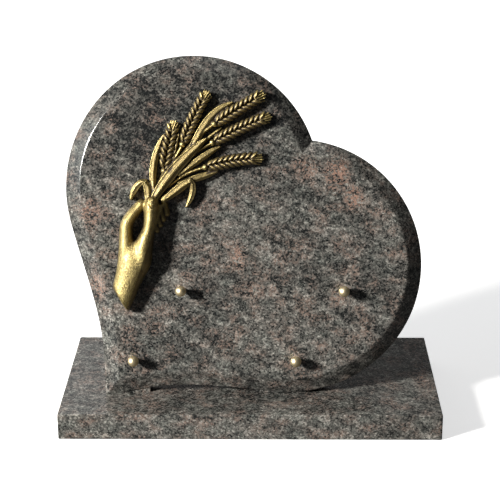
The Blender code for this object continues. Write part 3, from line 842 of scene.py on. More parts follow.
class Ear:
    """One ear's middle line and sizes, and the shapes that stand on it."""

    def __init__(self, stalk_length, stalk_bearing, length, bearing, width, bow):
        self.root = stalk_length * heading(stalk_bearing)
        self.way = heading(bearing)
        self.bearing = bearing
        self.length = length
        self.width = width
        self.bow = bow
        self.rows = length - TUFT_LENGTH

    def spot(self, along, side):
        """A point on the casting's plane, so far along the ear and to its left."""
        t = along / self.length
        return self.root + along * self.way + (side + 4 * self.bow * t * (1 - t)) * left_of(self.way)

    def core(self):
        """The solid body under the grains and the bristles."""
        rings = []
        steps = 24
        for step in range(steps + 1):
            along = (self.length - CORE_END) * step / steps
            share = ear_share(min(1.0, along / self.rows))
            half = CORE_WIDTH * self.width * share
            in_tuft = min(1.0, max(0.0, (along - self.rows + CORE_END) / CORE_END))
            crest = (EAR_CREST - CORE_DROP) * share
            crest += in_tuft * (TUFT_CORE_CREST - crest)
            rings.append(ring(self.spot(along, half), self.spot(along, -half), crest, dome_section()))
        return loft(rings)

    def grains(self, pitch_wanted):
        """Two rows of plump pointed grains, staggered, each tipped up over the next."""
        bm = bmesh.new()
        count = round(self.rows / pitch_wanted)
        pitch = self.rows / count
        knuckle = bmesh.ops.create_uvsphere(bm, u_segments=14, v_segments=10, radius=KNUCKLE_RADIUS)
        place = self.spot(KNUCKLE_PLACE, 0.0)
        lift = Matrix.Translation((place.x, place.y, STALK_CREST - KNUCKLE_SINK))
        bmesh.ops.transform(bm, verts=knuckle["verts"], matrix=lift)
        for row in range(count * 2):
            side = 1 if row % 2 else -1
            along = (row + GRAIN_START) * pitch / 2
            share = ear_share(min(1.0, along / self.rows))
            size = GRAIN_SIZES[0] + GRAIN_SIZES[1] * share
            place = self.spot(along, side * GRAIN_SIDE * self.width * share)
            height = EAR_CREST * share ** EAR_CREST_FALL - GRAIN_HEIGHT * size / 2
            self.grain(bm, (place.x, place.y, height), side, size)
        return bm

    def grain(self, bm, place, side, size):
        """One grain: a ball drawn out to a point at its far end."""
        made = bmesh.ops.create_uvsphere(bm, u_segments=16, v_segments=10, radius=1.0)["verts"]
        for vert in made:
            narrow = 1.0 - GRAIN_TAPER * max(0.0, vert.co.x) ** 2
            vert.co.z *= narrow * (1.0 + GRAIN_KEEL * bump_at(vert.co.y, 0.0, 0.3))
            vert.co.y *= narrow
        turn = Matrix.Rotation(math.radians(self.bearing + side * GRAIN_SPREAD), 4, "Z")
        tip_up = Matrix.Rotation(math.radians(-GRAIN_PITCH_UP), 4, "Y")
        roll = Matrix.Rotation(math.radians(side * GRAIN_ROLL), 4, "X")
        halves = [measure * size / 2 for measure in (GRAIN_LENGTH, GRAIN_WIDTH, GRAIN_HEIGHT)]
        form = Matrix.Diagonal((*halves, 1.0))
        matrix = Matrix.Translation(place) @ turn @ tip_up @ roll @ form
        bmesh.ops.transform(bm, verts=made, matrix=matrix)

    def bristles(self, count):
        """A flared fan of blunt bristles."""
        bm = bmesh.new()
        thick, thin = BRISTLE_RADII
        for number in range(count):
            spread = -1.0 + 2.0 * number / (count - 1)
            start = self.spot(self.rows - BRISTLE_ROOT, spread * BRISTLE_ROOT_SPREAD * self.width)
            reach = self.length - BRISTLE_ROUNDING * spread ** 2 - BRISTLE_STAGGER * (number % 2)
            end = self.spot(reach, spread * BRISTLE_END_SPREAD * self.width)
            low = BRISTLE_EDGE_DROP * spread ** 2
            a = Vector((start.x, start.y, BRISTLE_HEIGHT - 0.5 * low))
            b = Vector((end.x, end.y, BRISTLE_HEIGHT - BRISTLE_END_DROP - low))
            turn = (b - a).to_track_quat("Z", "Y").to_matrix().to_4x4()
            bmesh.ops.create_cone(
                bm, cap_ends=True, segments=8, radius1=thick, radius2=thin,
                depth=(b - a).length, matrix=Matrix.Translation((a + b) / 2) @ turn,
            )
        return bm


def casting_shapes(sizes):
    """All closed shapes of the casting, on its own plane in millimetres."""
    shapes = [hand_part(part) for part in (FOREARM, THUMB, INDEX)]
    shapes += [finger(number) for number in range(FINGERS)]
    shapes += [leaf(*leaf_sizes) for leaf_sizes in LEAVES.values()]
    for ear_sizes in EARS:
        ear = Ear(*ear_sizes)
        shapes.append(stalk(ear_sizes[0], ear_sizes[1], ear_sizes[3]))
        shapes += [ear.core(), ear.grains(sizes.grain_pitch), ear.bristles(sizes.bristles)]
    return shapes


def fuse(shapes, cell):
    """Join overlapping closed shapes into one skin with a flat back."""
    joined = bmesh.new()
    for shape in shapes:
        for vert in shape.verts:
            vert.co.z = max(vert.co.z, 0.0)
        part = bpy.data.meshes.new("part")
        shape.to_mesh(part)
        shape.free()
        joined.from_mesh(part)
        bpy.data.meshes.remove(part)
    obj = add_object("bronze_casting", joined)
    skin = obj.modifiers.new("Skin", "REMESH")
    skin.mode = "VOXEL"
    skin.voxel_size = cell
    skin.use_smooth_shade = True
    apply_modifiers(obj)
    return obj


def values_of(items, name, width, kind=float):
    """One value of each item of a mesh, as the rows of an array."""
    values = np.empty(len(items) * width, dtype=kind)
    items.foreach_get(name, values)
    return values.reshape(-1, width)


def read_mesh(mesh):
    """A mesh's points, edges and number of neighbours as arrays."""
    edges = values_of(mesh.edges, "vertices", 2, np.int64)
    count = np.bincount(edges.ravel(), minlength=len(mesh.vertices))
    return values_of(mesh.vertices, "co", 3), edges, count


def neighbour_mean(points, edges, count):
    """The mean of each point's neighbours."""
    total = np.empty_like(points)
    for axis in range(3):
        ahead = np.bincount(edges[:, 0], points[edges[:, 1], axis], len(points))
        behind = np.bincount(edges[:, 1], points[edges[:, 0], axis], len(points))
        total[:, axis] = ahead + behind
    return total / count[:, None]


def eased(points, edges, count, rounds, share, give_back=0.0):
    """Points moved towards their neighbours' mean, and part of the way back to keep the volume."""
    for _ in range(rounds):
        points = points + share * (neighbour_mean(points, edges, count) - points)
        if give_back:
            points = points - give_back * share * (neighbour_mean(points, edges, count) - points)
    return points


def move_points(mesh, points):
    """Give a mesh's points new places."""
    mesh.vertices.foreach_set("co", points.ravel())
    mesh.update()


def webbed(mesh, points, edges, count, share):
    """Points with the creases between the hand's parts filled, as skin spans them."""
    for _ in range(WEB_PASSES):
        move_points(mesh, points)
        normals = values_of(mesh.vertex_normals, "vector", 3)
        for _ in range(WEB_ROUNDS):
            move = neighbour_mean(points, edges, count) - points
            outward = np.sum(move * normals, axis=1) > 0.0
            points = points + SKIN_PULL * share * np.where(outward, 1.0, INWARD_PULL)[:, None] * move
    return points


def soft_step(value, low, high):
    """A smooth rise from 0 at low to 1 at high."""
    t = np.clip((value - low) / (high - low), 0.0, 1.0)
    return t * t * (3.0 - 2.0 * t)


def beside_thumb(points, end):
    """Where the skin lies past the line between thumb and curled fingers, fading in up to an end."""
    x, y = points[:, :2].T
    return soft_step(x + FINGERS_SLOPE * (y - FINGERS_LEVEL), FINGERS_EDGE - 1.0, FINGERS_EDGE + end)


def hand_share(points):
    """Where the skin belongs to the hand, away from the curled fingers, the cut wrist and the back."""
    x, y, z = points.T
    wheat_line = y - WHEAT_WIDENING * np.abs(x) - WHEAT_RISE * (z - WHEAT_LEVEL)
    below_wheat = 1.0 - soft_step(wheat_line, *WHEAT_FADE)
    below_wheat *= 1.0 - beside_thumb(points, 1.0)
    cut_start, cut_end = np.array(FOREARM[0][:2]), np.array(FOREARM[0][2:4])
    along = (cut_end - cut_start) / np.linalg.norm(cut_end - cut_start)
    away = np.abs((x - cut_start[0]) * along[1] - (y - cut_start[1]) * along[0])
    return below_wheat * soft_step(away, *WRIST_FADE) * soft_step(z, *BACK_FADE)


def add_nail(points):
    """Press the curved lower edge of the thumb's nail into the skin."""
    across = (points[:, 0] - NAIL_CENTRE[0]) / NAIL_HALF[0]
    along = (points[:, 1] - NAIL_CENTRE[1]) / NAIL_HALF[1]
    off = (np.hypot(across, along) - 1.0) * NAIL_HALF[0]
    lower = 1.0 - soft_step(along, *NAIL_SPAN)
    upward = soft_step(points[:, 2], *NAIL_HEIGHTS)
    points[:, 2] -= NAIL_GROOVE * np.exp(-(off / NAIL_GROOVE_WIDTH) ** 2) * lower * upward


def ear_area(points):
    """Where the skin belongs to an ear's grains."""
    area = np.zeros(len(points))
    for ear_sizes in EARS:
        ear = Ear(*ear_sizes)
        x, y = (points[:, :2] - np.array(ear.root)).T
        along = x * ear.way.x + y * ear.way.y
        t = np.clip(along / ear.length, 0.0, 1.0)
        side = np.abs(y * ear.way.x - x * ear.way.y - 4 * ear.bow * t * (1 - t))
        inside = soft_step(along, -2.0, 3.0) * (1.0 - soft_step(along, ear.rows - 1.0, ear.rows + 2.0))
        area = np.maximum(area, inside * (1.0 - soft_step(side, 0.50 * ear.width, 0.70 * ear.width)))
    return area


def mark_hollows(mesh):
    """Store how deep each point lies in a hollow, from fine creases to wide valleys, for patina, with
    painted shade added near the stone, in the opening between thumb and finger and on the curled fingers.
    """
    points, edges, count = read_mesh(mesh)
    normals = values_of(mesh.vertex_normals, "vector", 3)
    fine = eased(points, edges, count, CREASE_ROUNDS, 0.5)
    wide = eased(fine, edges, count, VALLEY_ROUNDS, 0.5)
    fine_depth = np.sum((fine - points) * normals, axis=1)
    wide_depth = np.sum((wide - points) * normals, axis=1)
    # Painted shade where the skin lies low, near the stone.
    near_stone_shade = 1.0 - soft_step(points[:, 2], *LOW_HEIGHTS)
    hand = hand_share(points)
    ears = ear_area(points)
    creases = fine_depth / CREASE_DEPTH * (1.0 + EAR_CONTRAST * ears) + wide_depth / VALLEY_DEPTH
    hollow = MIDDLE_PATINA + creases * (1.0 - HAND_EVENNESS * hand) + LOW_SHADE * near_stone_shade
    hollow += hand * HAND_PATINA + (1.0 - hand) * WHEAT_PATINA
    # Painted shade low in the opening between thumb and finger.
    middle, half, patina_and_shade = OPENING_SHADE
    away = np.hypot((points[:, 0] - middle[0]) / half[0], (points[:, 1] - middle[1]) / half[1])
    inside = (1.0 - soft_step(away, *OPENING_FADE)) * (1.0 - soft_step(points[:, 2], *OPENING_HEIGHTS))
    hollow += patina_and_shade * inside + EAR_PATINA * ears
    # Painted shadow of the thumb darkens the curled fingers beside it, below their tops.
    hollow += FINGER_SHADOW * beside_thumb(points, 0.0) * (1.0 - soft_step(points[:, 1], *FINGER_TOPS))
    hollow = np.maximum(hollow, EAR_DULLEST * ears)
    for name, values in (("hollow", hollow), ("rubbed", hand)):
        attribute = mesh.attributes.new(name, "FLOAT", "POINT")
        attribute.data.foreach_set("value", np.clip(values, 0.0, 1.0).astype(np.float32))


def cut_flat_back(mesh):
    """Cut the skin off level behind and close it with one flat back."""
    bm = bmesh.new()
    bm.from_mesh(mesh)
    everything = bm.verts[:] + bm.edges[:] + bm.faces[:]
    level = (0.0, 0.0, BACK_CUT)
    bmesh.ops.bisect_plane(
        bm, geom=everything, dist=0.0001, plane_co=level, plane_no=(0.0, 0.0, 1.0), clear_inner=True
    )
    rim = [edge for edge in bm.edges if edge.is_boundary]
    bmesh.ops.triangle_fill(bm, edges=rim, use_beauty=False, use_dissolve=False, normal=(0.0, 0.0, -1.0))
    bmesh.ops.translate(bm, verts=bm.verts, vec=(0.0, 0.0, -BACK_CUT))
    bm.to_mesh(mesh)
    bm.free()


def thin_out(obj):
    """Merge the smallest faces where the skin is smooth, down to the number that a piece may have."""
    mesh = obj.data
    triangles = sum(len(face.vertices) - 2 for face in mesh.polygons)
    if triangles > MOST_TRIANGLES:
        thinner = obj.modifiers.new("Thinner", "DECIMATE")
        thinner.ratio = MOST_TRIANGLES / triangles
        apply_modifiers(obj)


def build_casting(sizes, places):
    """The hand and its wheat as one fused casting, softened on the hand, laid on the heart."""
    casting = fuse(casting_shapes(sizes), sizes.fineness)
    mesh = casting.data
    points, edges, count = read_mesh(mesh)
    points = eased(points, edges, count, 2, 0.45)
    share = hand_share(points)[:, None]
    points = webbed(mesh, points, edges, count, share)
    points = eased(points, edges, count, HAND_ROUNDS, SKIN_PULL * share, HAND_GIVE_BACK)
    add_nail(points)
    move_points(mesh, points)
    mark_hollows(mesh)
    cut_flat_back(mesh)
    thin_out(casting)
    pinch = places["left_lobe"] - LOBE_RADIUS * Vector((PINCH_LEFT, PINCH_DOWN))
    scale = Matrix.Scale(MM, 4)
    mesh = casting.data
    mesh.transform(leaning(pinch.x, pinch.y, BEVEL_DEPTH + JOINT_GAP) @ scale)
    mesh.shade_smooth()
    return casting


# Finishes


class Nodes:
    """A node tree under construction, with short calls for its nodes and links."""

    def __init__(self, tree):
        self.tree = tree

    def add(self, kind, settings=None, **sockets):
        """A node with its settings and its sockets, each a value or another socket."""
        node = self.tree.nodes.new(kind)
        for name, value in (settings or {}).items():
            setattr(node, name, value)
        for name, value in sockets.items():
            self.put(node.inputs[name.replace("_", " ")], value)
        return node

    def put(self, socket, value):
        """Link a socket or set its value."""
        if isinstance(value, bpy.types.NodeSocket):
            self.tree.links.new(value, socket)
        else:
            socket.default_value = value

    def sum_node(self, kind, operation, values):
        """A node that works out a sum on its values."""
        node = self.add(kind, {"operation": operation})
        for socket, value in zip(node.inputs, values):
            self.put(socket, value)
        return node

    def math(self, operation, *values):
        """The result of a sum on two values."""
        return self.sum_node("ShaderNodeMath", operation, values).outputs[0]

    def plus(self, value, more, share):
        """A value with a share of another added."""
        return self.math("ADD", value, self.math("MULTIPLY", more, share))

    def vectors(self, operation, *values):
        """The result of a sum on vectors, which is a value for a length or a product."""
        node = self.sum_node("ShaderNodeVectorMath", operation, values)
        return node.outputs["Value" if operation in ("LENGTH", "DOT_PRODUCT") else "Vector"]

    def rise(self, value, low, high, start=0.0, end=1.0):
        """A value mapped smoothly from one range to another."""
        node = self.add("ShaderNodeMapRange", {"interpolation_type": "SMOOTHSTEP"})
        for socket, given in zip(node.inputs, (value, low, high, start, end)):
            self.put(socket, given)
        return node.outputs[0]

    def blend(self, share, first, second, kind="MIX"):
        """One colour mixed into another."""
        node = self.add("ShaderNodeMix", {"data_type": "RGBA", "blend_type": kind})
        self.put(node.inputs["Factor"], share)
        self.put(node.inputs[6], first)
        self.put(node.inputs[7], second)
        return node.outputs[2]

    def noise(self, vector, scale, detail=2.0, roughness=0.5, distortion=0.0):
        """A cloudy value from 0 to 1."""
        node = self.add(
            "ShaderNodeTexNoise", Vector=vector, Scale=scale, Detail=detail,
            Roughness=roughness, Distortion=distortion,
        )
        return node.outputs["Fac"]

    def spot(self, vector, place, half_sizes):
        """A soft round patch: one at its place, nothing beyond its half sizes."""
        share = self.vectors("DIVIDE", self.vectors("SUBTRACT", vector, place), half_sizes)
        return self.rise(self.vectors("LENGTH", share), 0.2, 1.1, 1.0, 0.0)

    def stretched(self, vector, scale, place=(0.0, 0.0, 0.0), turn=0.0):
        """Coordinates turned in the upright plane and then drawn out along their axes."""
        if turn:
            about_y = {"rotation_type": "Y_AXIS"}
            vector = self.add("ShaderNodeVectorRotate", about_y, Vector=vector, Angle=turn).outputs[0]
        return self.add("ShaderNodeMapping", Vector=vector, Location=place, Scale=scale).outputs[0]


def opaque(colour):
    """A colour with its alpha, as a socket takes it."""
    return (*colour, 1.0)


def new_group(name, inputs, outputs):
    """An empty shader group with named sockets, and its two end nodes."""
    tree = bpy.data.node_groups.new(name, "ShaderNodeTree")
    for label, kind, value in inputs:
        socket = tree.interface.new_socket(name=label, in_out="INPUT", socket_type=kind)
        if value is not None:
            socket.default_value = value
    for label, kind in outputs:
        tree.interface.new_socket(name=label, in_out="OUTPUT", socket_type=kind)
    start = tree.nodes.new("NodeGroupInput")
    end = tree.nodes.new("NodeGroupOutput")
    return Nodes(tree), start, end


def surface_wear_group():
    """Fine mottling and small dents that the stone and both metals share in their own measure."""
    nodes, start, end = new_group(
        "fine_surface",
        (("Vector", "NodeSocketVector", None), ("Size", "NodeSocketFloat", 900.0)),
        (("Mottle", "NodeSocketFloat"), ("Pits", "NodeSocketFloat")),
    )
    vector, size = start.outputs[:2]
    mottle = nodes.noise(vector, size, 3.0, 0.6)
    cells = nodes.add("ShaderNodeTexVoronoi", Vector=vector, Scale=nodes.math("MULTIPLY", size, 1.3))
    nodes.put(end.inputs["Mottle"], mottle)
    nodes.put(end.inputs["Pits"], nodes.rise(cells.outputs["Distance"], 0.05, 0.55))
    return nodes.tree


def toned(nodes, value, tones):
    """A grey for a value, by tones given as (value, level) from the lowest to the highest."""
    ramp = nodes.add("ShaderNodeValToRGB", Fac=value)
    ramp.color_ramp.interpolation = "EASE"
    stops = ramp.color_ramp.elements
    stops[0].position, stops[1].position = tones[0][0], tones[-1][0]
    for position, _ in tones[1:-1]:
        stops.new(position)
    for stop, (_, level) in zip(stops, tones):
        stop.color = (level, level, level, 1.0)
    return ramp.outputs["Color"]


def granite_group(finishes):
    """Grains of a dark streaked granite, as a colour and a value for how soft each grain is."""
    nodes, start, end = new_group(
        "granite_grains",
        (
            ("Vector", "NodeSocketVector", None),
            ("Dark", "NodeSocketColor", opaque(finishes.stone_dark)),
            ("Pale", "NodeSocketColor", opaque(finishes.stone_pale)),
            ("Pink", "NodeSocketColor", opaque(finishes.stone_pink)),
        ),
        (("Color", "NodeSocketColor"), ("Softness", "NodeSocketFloat")),
    )
    vector, dark, pale, pink = start.outputs[:4]
    drift = nodes.noise(vector, 60.0).node.outputs["Color"]
    place = nodes.vectors("MULTIPLY_ADD", drift, GRAIN_DRIFT, vector)
    grains = nodes.add("ShaderNodeTexVoronoi", Vector=place, Scale=680.0)
    tone = nodes.add("ShaderNodeSeparateColor", Color=grains.outputs["Color"])
    small = nodes.add("ShaderNodeTexVoronoi", Vector=place, Scale=1050.0)
    small_tone = nodes.add("ShaderNodeSeparateColor", Color=small.outputs["Color"])
    streaks = nodes.noise(nodes.stretched(place, VEIN_SCALE, turn=VEIN_TURN), 1.0, 3.0, 0.55, 0.8)
    clusters = nodes.noise(nodes.stretched(place, CLUSTER_SCALE), 1.0, 2.0, 0.6)
    value = nodes.math("MULTIPLY", tone.outputs[0], 0.46)
    value = nodes.plus(value, small_tone.outputs[0], 0.26)
    value = nodes.math("ADD", value, nodes.rise(streaks, 0.30, 0.70, -0.11, 0.11))
    value = nodes.math("ADD", value, nodes.rise(clusters, 0.30, 0.70, -0.12, 0.12))
    for x, z, wide, high, share in TONE_PLACES:
        value = nodes.plus(value, nodes.spot(place, (x, 0.0, z), (wide, STONE_DEPTH, high)), share)
    front_place, front_sizes, share = FRONT_PALE
    value = nodes.plus(value, nodes.spot(vector, front_place, front_sizes), share)
    colour = nodes.blend(toned(nodes, value, STONE_TONES), dark, pale)
    patches = nodes.noise(nodes.stretched(place, PATCH_SCALE, PATCH_SHIFT), 1.0)
    rosy = nodes.rise(patches, 0.46, 0.68, 0.0, 0.36)
    uneven = nodes.rise(patches, 0.35, 0.55, 0.6, 1.0)
    for x, z, wide, high, share in PINK_PLACES:
        area = nodes.spot(place, (x, 0.0, z), (wide * PINK_REACH, STONE_DEPTH, high * PINK_REACH))
        area = nodes.math("MULTIPLY", nodes.math("MULTIPLY", area, share), uneven)
        rosy = nodes.math("MAXIMUM", rosy, area)
    rosy = nodes.math("MULTIPLY", rosy, nodes.rise(tone.outputs[1], 0.10, 0.70))
    rosy = nodes.math("MULTIPLY", rosy, nodes.rise(value, 0.15, 0.45))
    cool = nodes.math("MULTIPLY", nodes.rise(patches, 0.50, 0.34), tone.outputs[2])
    colour = nodes.blend(nodes.math("MULTIPLY", cool, 0.7), colour, COOL_TINT, "MULTIPLY")
    colour = nodes.blend(rosy, colour, pink)
    nodes.put(end.inputs["Color"], colour)
    nodes.put(end.inputs["Softness"], nodes.rise(value, 0.1, 0.7))
    return nodes.tree


class Finish(Nodes):
    """A material under construction, with short calls for what its shader needs."""

    def __init__(self, name):
        self.material = bpy.data.materials.new(name)
        self.material.use_nodes = True
        super().__init__(self.material.node_tree)
        self.shader = self.tree.nodes["Principled BSDF"]

    def where(self):
        """The piece's own coordinates."""
        return self.add("ShaderNodeTexCoord").outputs["Object"]

    def on_surface(self, group, **sockets):
        """A group's outputs, by name, on the piece's own coordinates."""
        return self.add("ShaderNodeGroup", {"node_tree": group}, Vector=self.where(), **sockets).outputs

    def dents(self, height, strength, distance):
        """A normal that a height has dented."""
        return self.add("ShaderNodeBump", Strength=strength, Distance=distance, Height=height).outputs[0]

    def set(self, **sockets):
        """Give the shader's sockets their values, or other sockets."""
        for name, value in sockets.items():
            self.put(self.shader.inputs[name.replace("_", " ")], value)


def granite_finish(nodes, finishes, fine_surface):
    """Polished granite."""
    grains = nodes.on_surface(granite_group(finishes))
    fine = nodes.on_surface(fine_surface, Size=1500.0)
    shade = nodes.rise(fine["Mottle"], 0.3, 0.7, 0.72, 1.28)
    shade_colour = nodes.add("ShaderNodeCombineColor", Red=shade, Green=shade, Blue=shade)
    nodes.set(
        Base_Color=nodes.blend(1.0, grains["Color"], shade_colour.outputs[0], "MULTIPLY"),
        Roughness=nodes.rise(grains["Softness"], 0.0, 1.0, 0.22, 0.11),
        Normal=nodes.dents(fine["Pits"], 0.12, 0.0002),
    )


def bronze_finish(nodes, finishes, fine_surface):
    """Cast bronze: dark patina in the hollows and painted shade near the stone, in the opening and on the
    curled fingers, rubbed bright on the crests.
    """
    fine = nodes.on_surface(fine_surface, Size=860.0)
    broad = nodes.noise(nodes.where(), 220.0, 3.0, 0.6)
    # The hollow attribute holds patina depth and painted shade together
    hollow = nodes.add("ShaderNodeAttribute", {"attribute_name": "hollow"}).outputs["Fac"]
    rubbed = nodes.add("ShaderNodeAttribute", {"attribute_name": "rubbed"}).outputs["Fac"]
    uneven = nodes.rise(broad, 0.3, 0.7, -0.06, 0.06)
    grain = nodes.rise(rubbed, 0.0, 1.0, 0.5, 1.0)
    speck = nodes.math("MULTIPLY", grain, nodes.rise(fine["Mottle"], 0.3, 0.7, -0.10, 0.10))
    depth = nodes.math("ADD", hollow, nodes.math("ADD", uneven, speck))
    # The darkest blend gives patina in the hollows and painted shade where the hollow value carries it
    dark = nodes.rise(depth, 0.55, 0.80)
    dull = nodes.rise(depth, 0.08, 0.46)
    colour = nodes.blend(dull, opaque(finishes.bronze), opaque(finishes.dull_bronze))
    height = nodes.math("MULTIPLY", nodes.plus(fine["Pits"], fine["Mottle"], 1.6), grain)
    nodes.set(
        Base_Color=nodes.blend(dark, colour, opaque(finishes.patina_and_shade)),
        Metallic=nodes.math("SUBTRACT", 1.0, nodes.math("MULTIPLY", dark, 0.55)),
        Roughness=nodes.rise(depth, 0.30, 0.72, 0.46, 0.53),
        Normal=nodes.dents(height, 0.6, 0.0005),
        Coat_Weight=WAX_WEIGHT,
        Coat_Roughness=WAX_ROUGHNESS,
    )


def brass_finish(nodes, finishes, fine_surface):
    """Polished brass with a faint handled surface."""
    fine = nodes.on_surface(fine_surface, Size=1600.0)
    worn = nodes.noise(nodes.where(), 500.0)
    nodes.set(
        Base_Color=nodes.blend(nodes.rise(worn, 0.4, 0.75, 0.0, 0.35), opaque(finishes.brass), WORN_BRASS),
        Metallic=1.0,
        Roughness=nodes.rise(worn, 0.3, 0.8, 0.42, 0.54),
        Normal=nodes.dents(fine["Mottle"], 0.08, 0.0002),
    )


FINISH_MAKERS = {
    "granite": ("granite_polished", granite_finish),
    "patinated_bronze": ("bronze_patinated", bronze_finish),
    "polished_brass": ("brass_polished", brass_finish),
}


def finish_for(slot):
    """The finish of a slot, which is made once and then shared."""
    name, maker = FINISH_MAKERS[slot]
    if name not in bpy.data.materials:
        group = bpy.data.node_groups.get("fine_surface") or surface_wear_group()
        maker(Finish(name), bpy.context.scene.plaque_finishes, group)
    return bpy.data.materials[name]


# Stage


def build_floor(tone):
    """A wide floor that looks nearly white and throws little light back up."""
    bm = bmesh.new()
    bmesh.ops.create_circle(bm, cap_ends=True, segments=96, radius=9.0)
    nodes = Finish("pale_floor")
    seen = nodes.add("ShaderNodeLightPath").outputs["Is Camera Ray"]
    nodes.set(
        Base_Color=nodes.blend(seen, FLOOR_BOUNCE, (tone, tone, tone, 1.0)),
        Roughness=0.9,
        Specular_IOR_Level=0.1,
        Emission_Color=WHITE,
        Emission_Strength=nodes.math("MULTIPLY", seen, FLOOR_GLOW),
    )
    floor = add_object("studio_floor", bm)
    floor.data.materials.append(nodes.material)


def add_light(name, power):
    """A square soft light that looks at its target."""
    place, target, size, colour = LIGHTS[name]
    light = bpy.data.lights.new(name, "AREA")
    light.energy = power
    light.size = size
    light.color = colour
    obj = bpy.data.objects.new(name, light)
    bpy.context.scene.collection.objects.link(obj)
    obj.location = place
    obj.rotation_euler = (Vector(target) - Vector(place)).to_track_quat("-Z", "Y").to_euler()
    return obj


def build_world():
    """A quiet room with a cool window on the left, white to the camera."""
    world = bpy.data.worlds.new("studio_room")
    world.use_nodes = True
    nodes = Nodes(world.node_tree)
    background = world.node_tree.nodes["Background"]
    way = nodes.add("ShaderNodeTexCoord").outputs["Generated"]
    behind = nodes.rise(nodes.add("ShaderNodeSeparateXYZ", Vector=way).outputs["Y"], -0.15, 0.55)
    room = nodes.blend(behind, ROOM_FRONT, ROOM_BACK)
    towards = nodes.vectors("DOT_PRODUCT", way, WINDOW_WAY)
    room = nodes.blend(nodes.rise(towards, *WINDOW_EDGE), room, WINDOW_TONE)
    seen = nodes.add("ShaderNodeLightPath").outputs["Is Camera Ray"]
    nodes.put(background.inputs["Color"], nodes.blend(seen, room, WHITE))
    bpy.context.scene.world = world


def build_camera():
    """The camera of the view that the plaque is shown in."""
    sin_pitch, cos_pitch = math.sin(VIEW_PITCH), math.cos(VIEW_PITCH)
    sin_yaw, cos_yaw = math.sin(VIEW_YAW), math.cos(VIEW_YAW)
    forward = Vector((sin_yaw * cos_pitch, cos_yaw * cos_pitch, -sin_pitch))
    right = Vector((cos_yaw, -sin_yaw, 0.0))
    up = right.cross(forward)
    rolled_right = math.cos(VIEW_ROLL) * right + math.sin(VIEW_ROLL) * up
    rolled_up = math.cos(VIEW_ROLL) * up - math.sin(VIEW_ROLL) * right
    matrix = Matrix((rolled_right, rolled_up, -forward)).transposed().to_4x4()
    matrix.translation = Vector(VIEW_PLACE)
    camera = bpy.data.objects.new("camera", bpy.data.cameras.new("camera"))
    camera.data.lens = VIEW_FOCUS / VIEW_PIXELS * SENSOR
    camera.data.sensor_width = SENSOR
    camera.matrix_world = matrix
    bpy.context.scene.collection.objects.link(camera)
    bpy.context.scene.camera = camera


# Operators


class PLAQUE_OT_base(bpy.types.Operator):
    """Make the granite base slab"""

    bl_idname = "plaque.base"
    bl_label = "Base Slab"

    def execute(self, context):
        seat(build_base(context.scene.plaque_stone), "base_slab", "granite")
        return {"FINISHED"}


class PLAQUE_OT_heart(bpy.types.Operator):
    """Make the granite heart slab"""

    bl_idname = "plaque.heart"
    bl_label = "Heart Slab"

    def execute(self, context):
        seat(build_heart(context.scene.plaque_stone), "heart_slab", "granite")
        return {"FINISHED"}


class PLAQUE_OT_casting(bpy.types.Operator):
    """Make the bronze hand that holds the wheat"""

    bl_idname = "plaque.casting"
    bl_label = "Hand and Wheat"

    def execute(self, context):
        places = heart_places(context.scene.plaque_stone.arc_steps)
        casting = build_casting(context.scene.plaque_casting, places)
        seat(casting, "hand_and_wheat", "patinated_bronze")
        return {"FINISHED"}


class PLAQUE_OT_studs(bpy.types.Operator):
    """Make the four ball-headed studs"""

    bl_idname = "plaque.studs"
    bl_label = "Studs"

    def execute(self, context):
        centre = heart_places(context.scene.plaque_stone.arc_steps)["studs"]
        for row, row_name in ((-0.5, "lower"), (0.5, "upper")):
            for side, side_name in ((-0.5, "left"), (0.5, "right")):
                across = side * STUD_SPACING + row * STUD_ROW_SHIFT
                place = centre + Vector((across, row * STUD_ROW_RISE))
                node = f"stud_{row_name}_{side_name}"
                stud = build_stud(f"brass_{node}", place, context.scene.plaque_studs)
                seat(stud, node, "polished_brass")
        return {"FINISHED"}


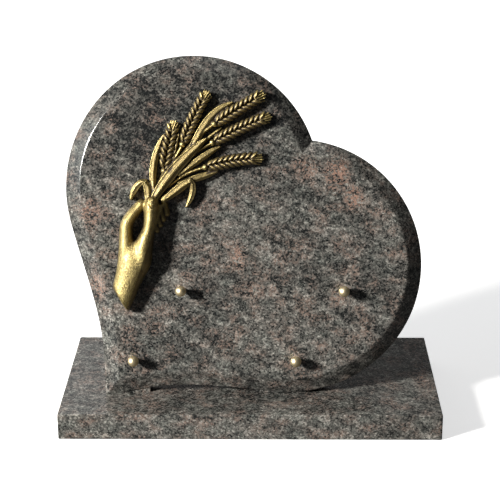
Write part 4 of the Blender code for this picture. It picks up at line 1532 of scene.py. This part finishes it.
class PLAQUE_OT_stage(bpy.types.Operator):
    """Set up the floor, the lights and the camera"""

    bl_idname = "plaque.stage"
    bl_label = "Stage"

    def execute(self, context):
        settings = context.scene.plaque_stage
        context.scene.view_settings.view_transform = "Standard"
        build_floor(settings.floor_tone)
        build_world()
        add_light("key", settings.key_power)
        add_light("overhead", settings.fill_power)
        back = add_light("back", settings.back_power)
        back.visible_camera = False
        back.visible_glossy = False
        add_light("card", settings.card_power).visible_camera = False
        build_camera()
        return {"FINISHED"}


class PLAQUE_PT_panel(bpy.types.Panel):
    """Lists the plaque's pieces and their sizes"""

    bl_label = "Plaque"
    bl_idname = "PLAQUE_PT_panel"
    bl_space_type = "VIEW_3D"
    bl_region_type = "UI"
    bl_category = "Plaque"

    def draw(self, context):
        for title, group, operators in PANEL_ROWS:
            column = self.layout.box().column()
            column.label(text=title)
            for name in getattr(context.scene, group).__annotations__:
                column.prop(getattr(context.scene, group), name)
            for operator in operators:
                column.operator(operator)


PANEL_ROWS = (
    ("Stone", "plaque_stone", ("plaque.base", "plaque.heart")),
    ("Casting", "plaque_casting", ("plaque.casting",)),
    ("Studs", "plaque_studs", ("plaque.studs",)),
    ("Finishes", "plaque_finishes", ()),
    ("Stage", "plaque_stage", ("plaque.stage",)),
)
SETTINGS = {
    "plaque_stone": StoneSizes,
    "plaque_casting": CastingSizes,
    "plaque_studs": StudSizes,
    "plaque_finishes": Finishes,
    "plaque_stage": StageSettings,
}
CLASSES = (
    *SETTINGS.values(),
    PLAQUE_OT_base,
    PLAQUE_OT_heart,
    PLAQUE_OT_casting,
    PLAQUE_OT_studs,
    PLAQUE_OT_stage,
    PLAQUE_PT_panel,
)


def register():
    """Make the classes and their settings known to Blender."""
    for cls in CLASSES:
        bpy.utils.register_class(cls)
    for name, cls in SETTINGS.items():
        setattr(bpy.types.Scene, name, PointerProperty(type=cls))


def unregister():
    """Take the settings and the classes out again."""
    for name in SETTINGS:
        delattr(bpy.types.Scene, name)
    for cls in reversed(CLASSES):
        bpy.utils.unregister_class(cls)


def main():
    """Build every piece and the stage."""
    register()
    bpy.ops.plaque.base()
    bpy.ops.plaque.heart()
    bpy.ops.plaque.casting()
    bpy.ops.plaque.studs()
    bpy.ops.plaque.stage()


if __name__ == "__main__":
    main()
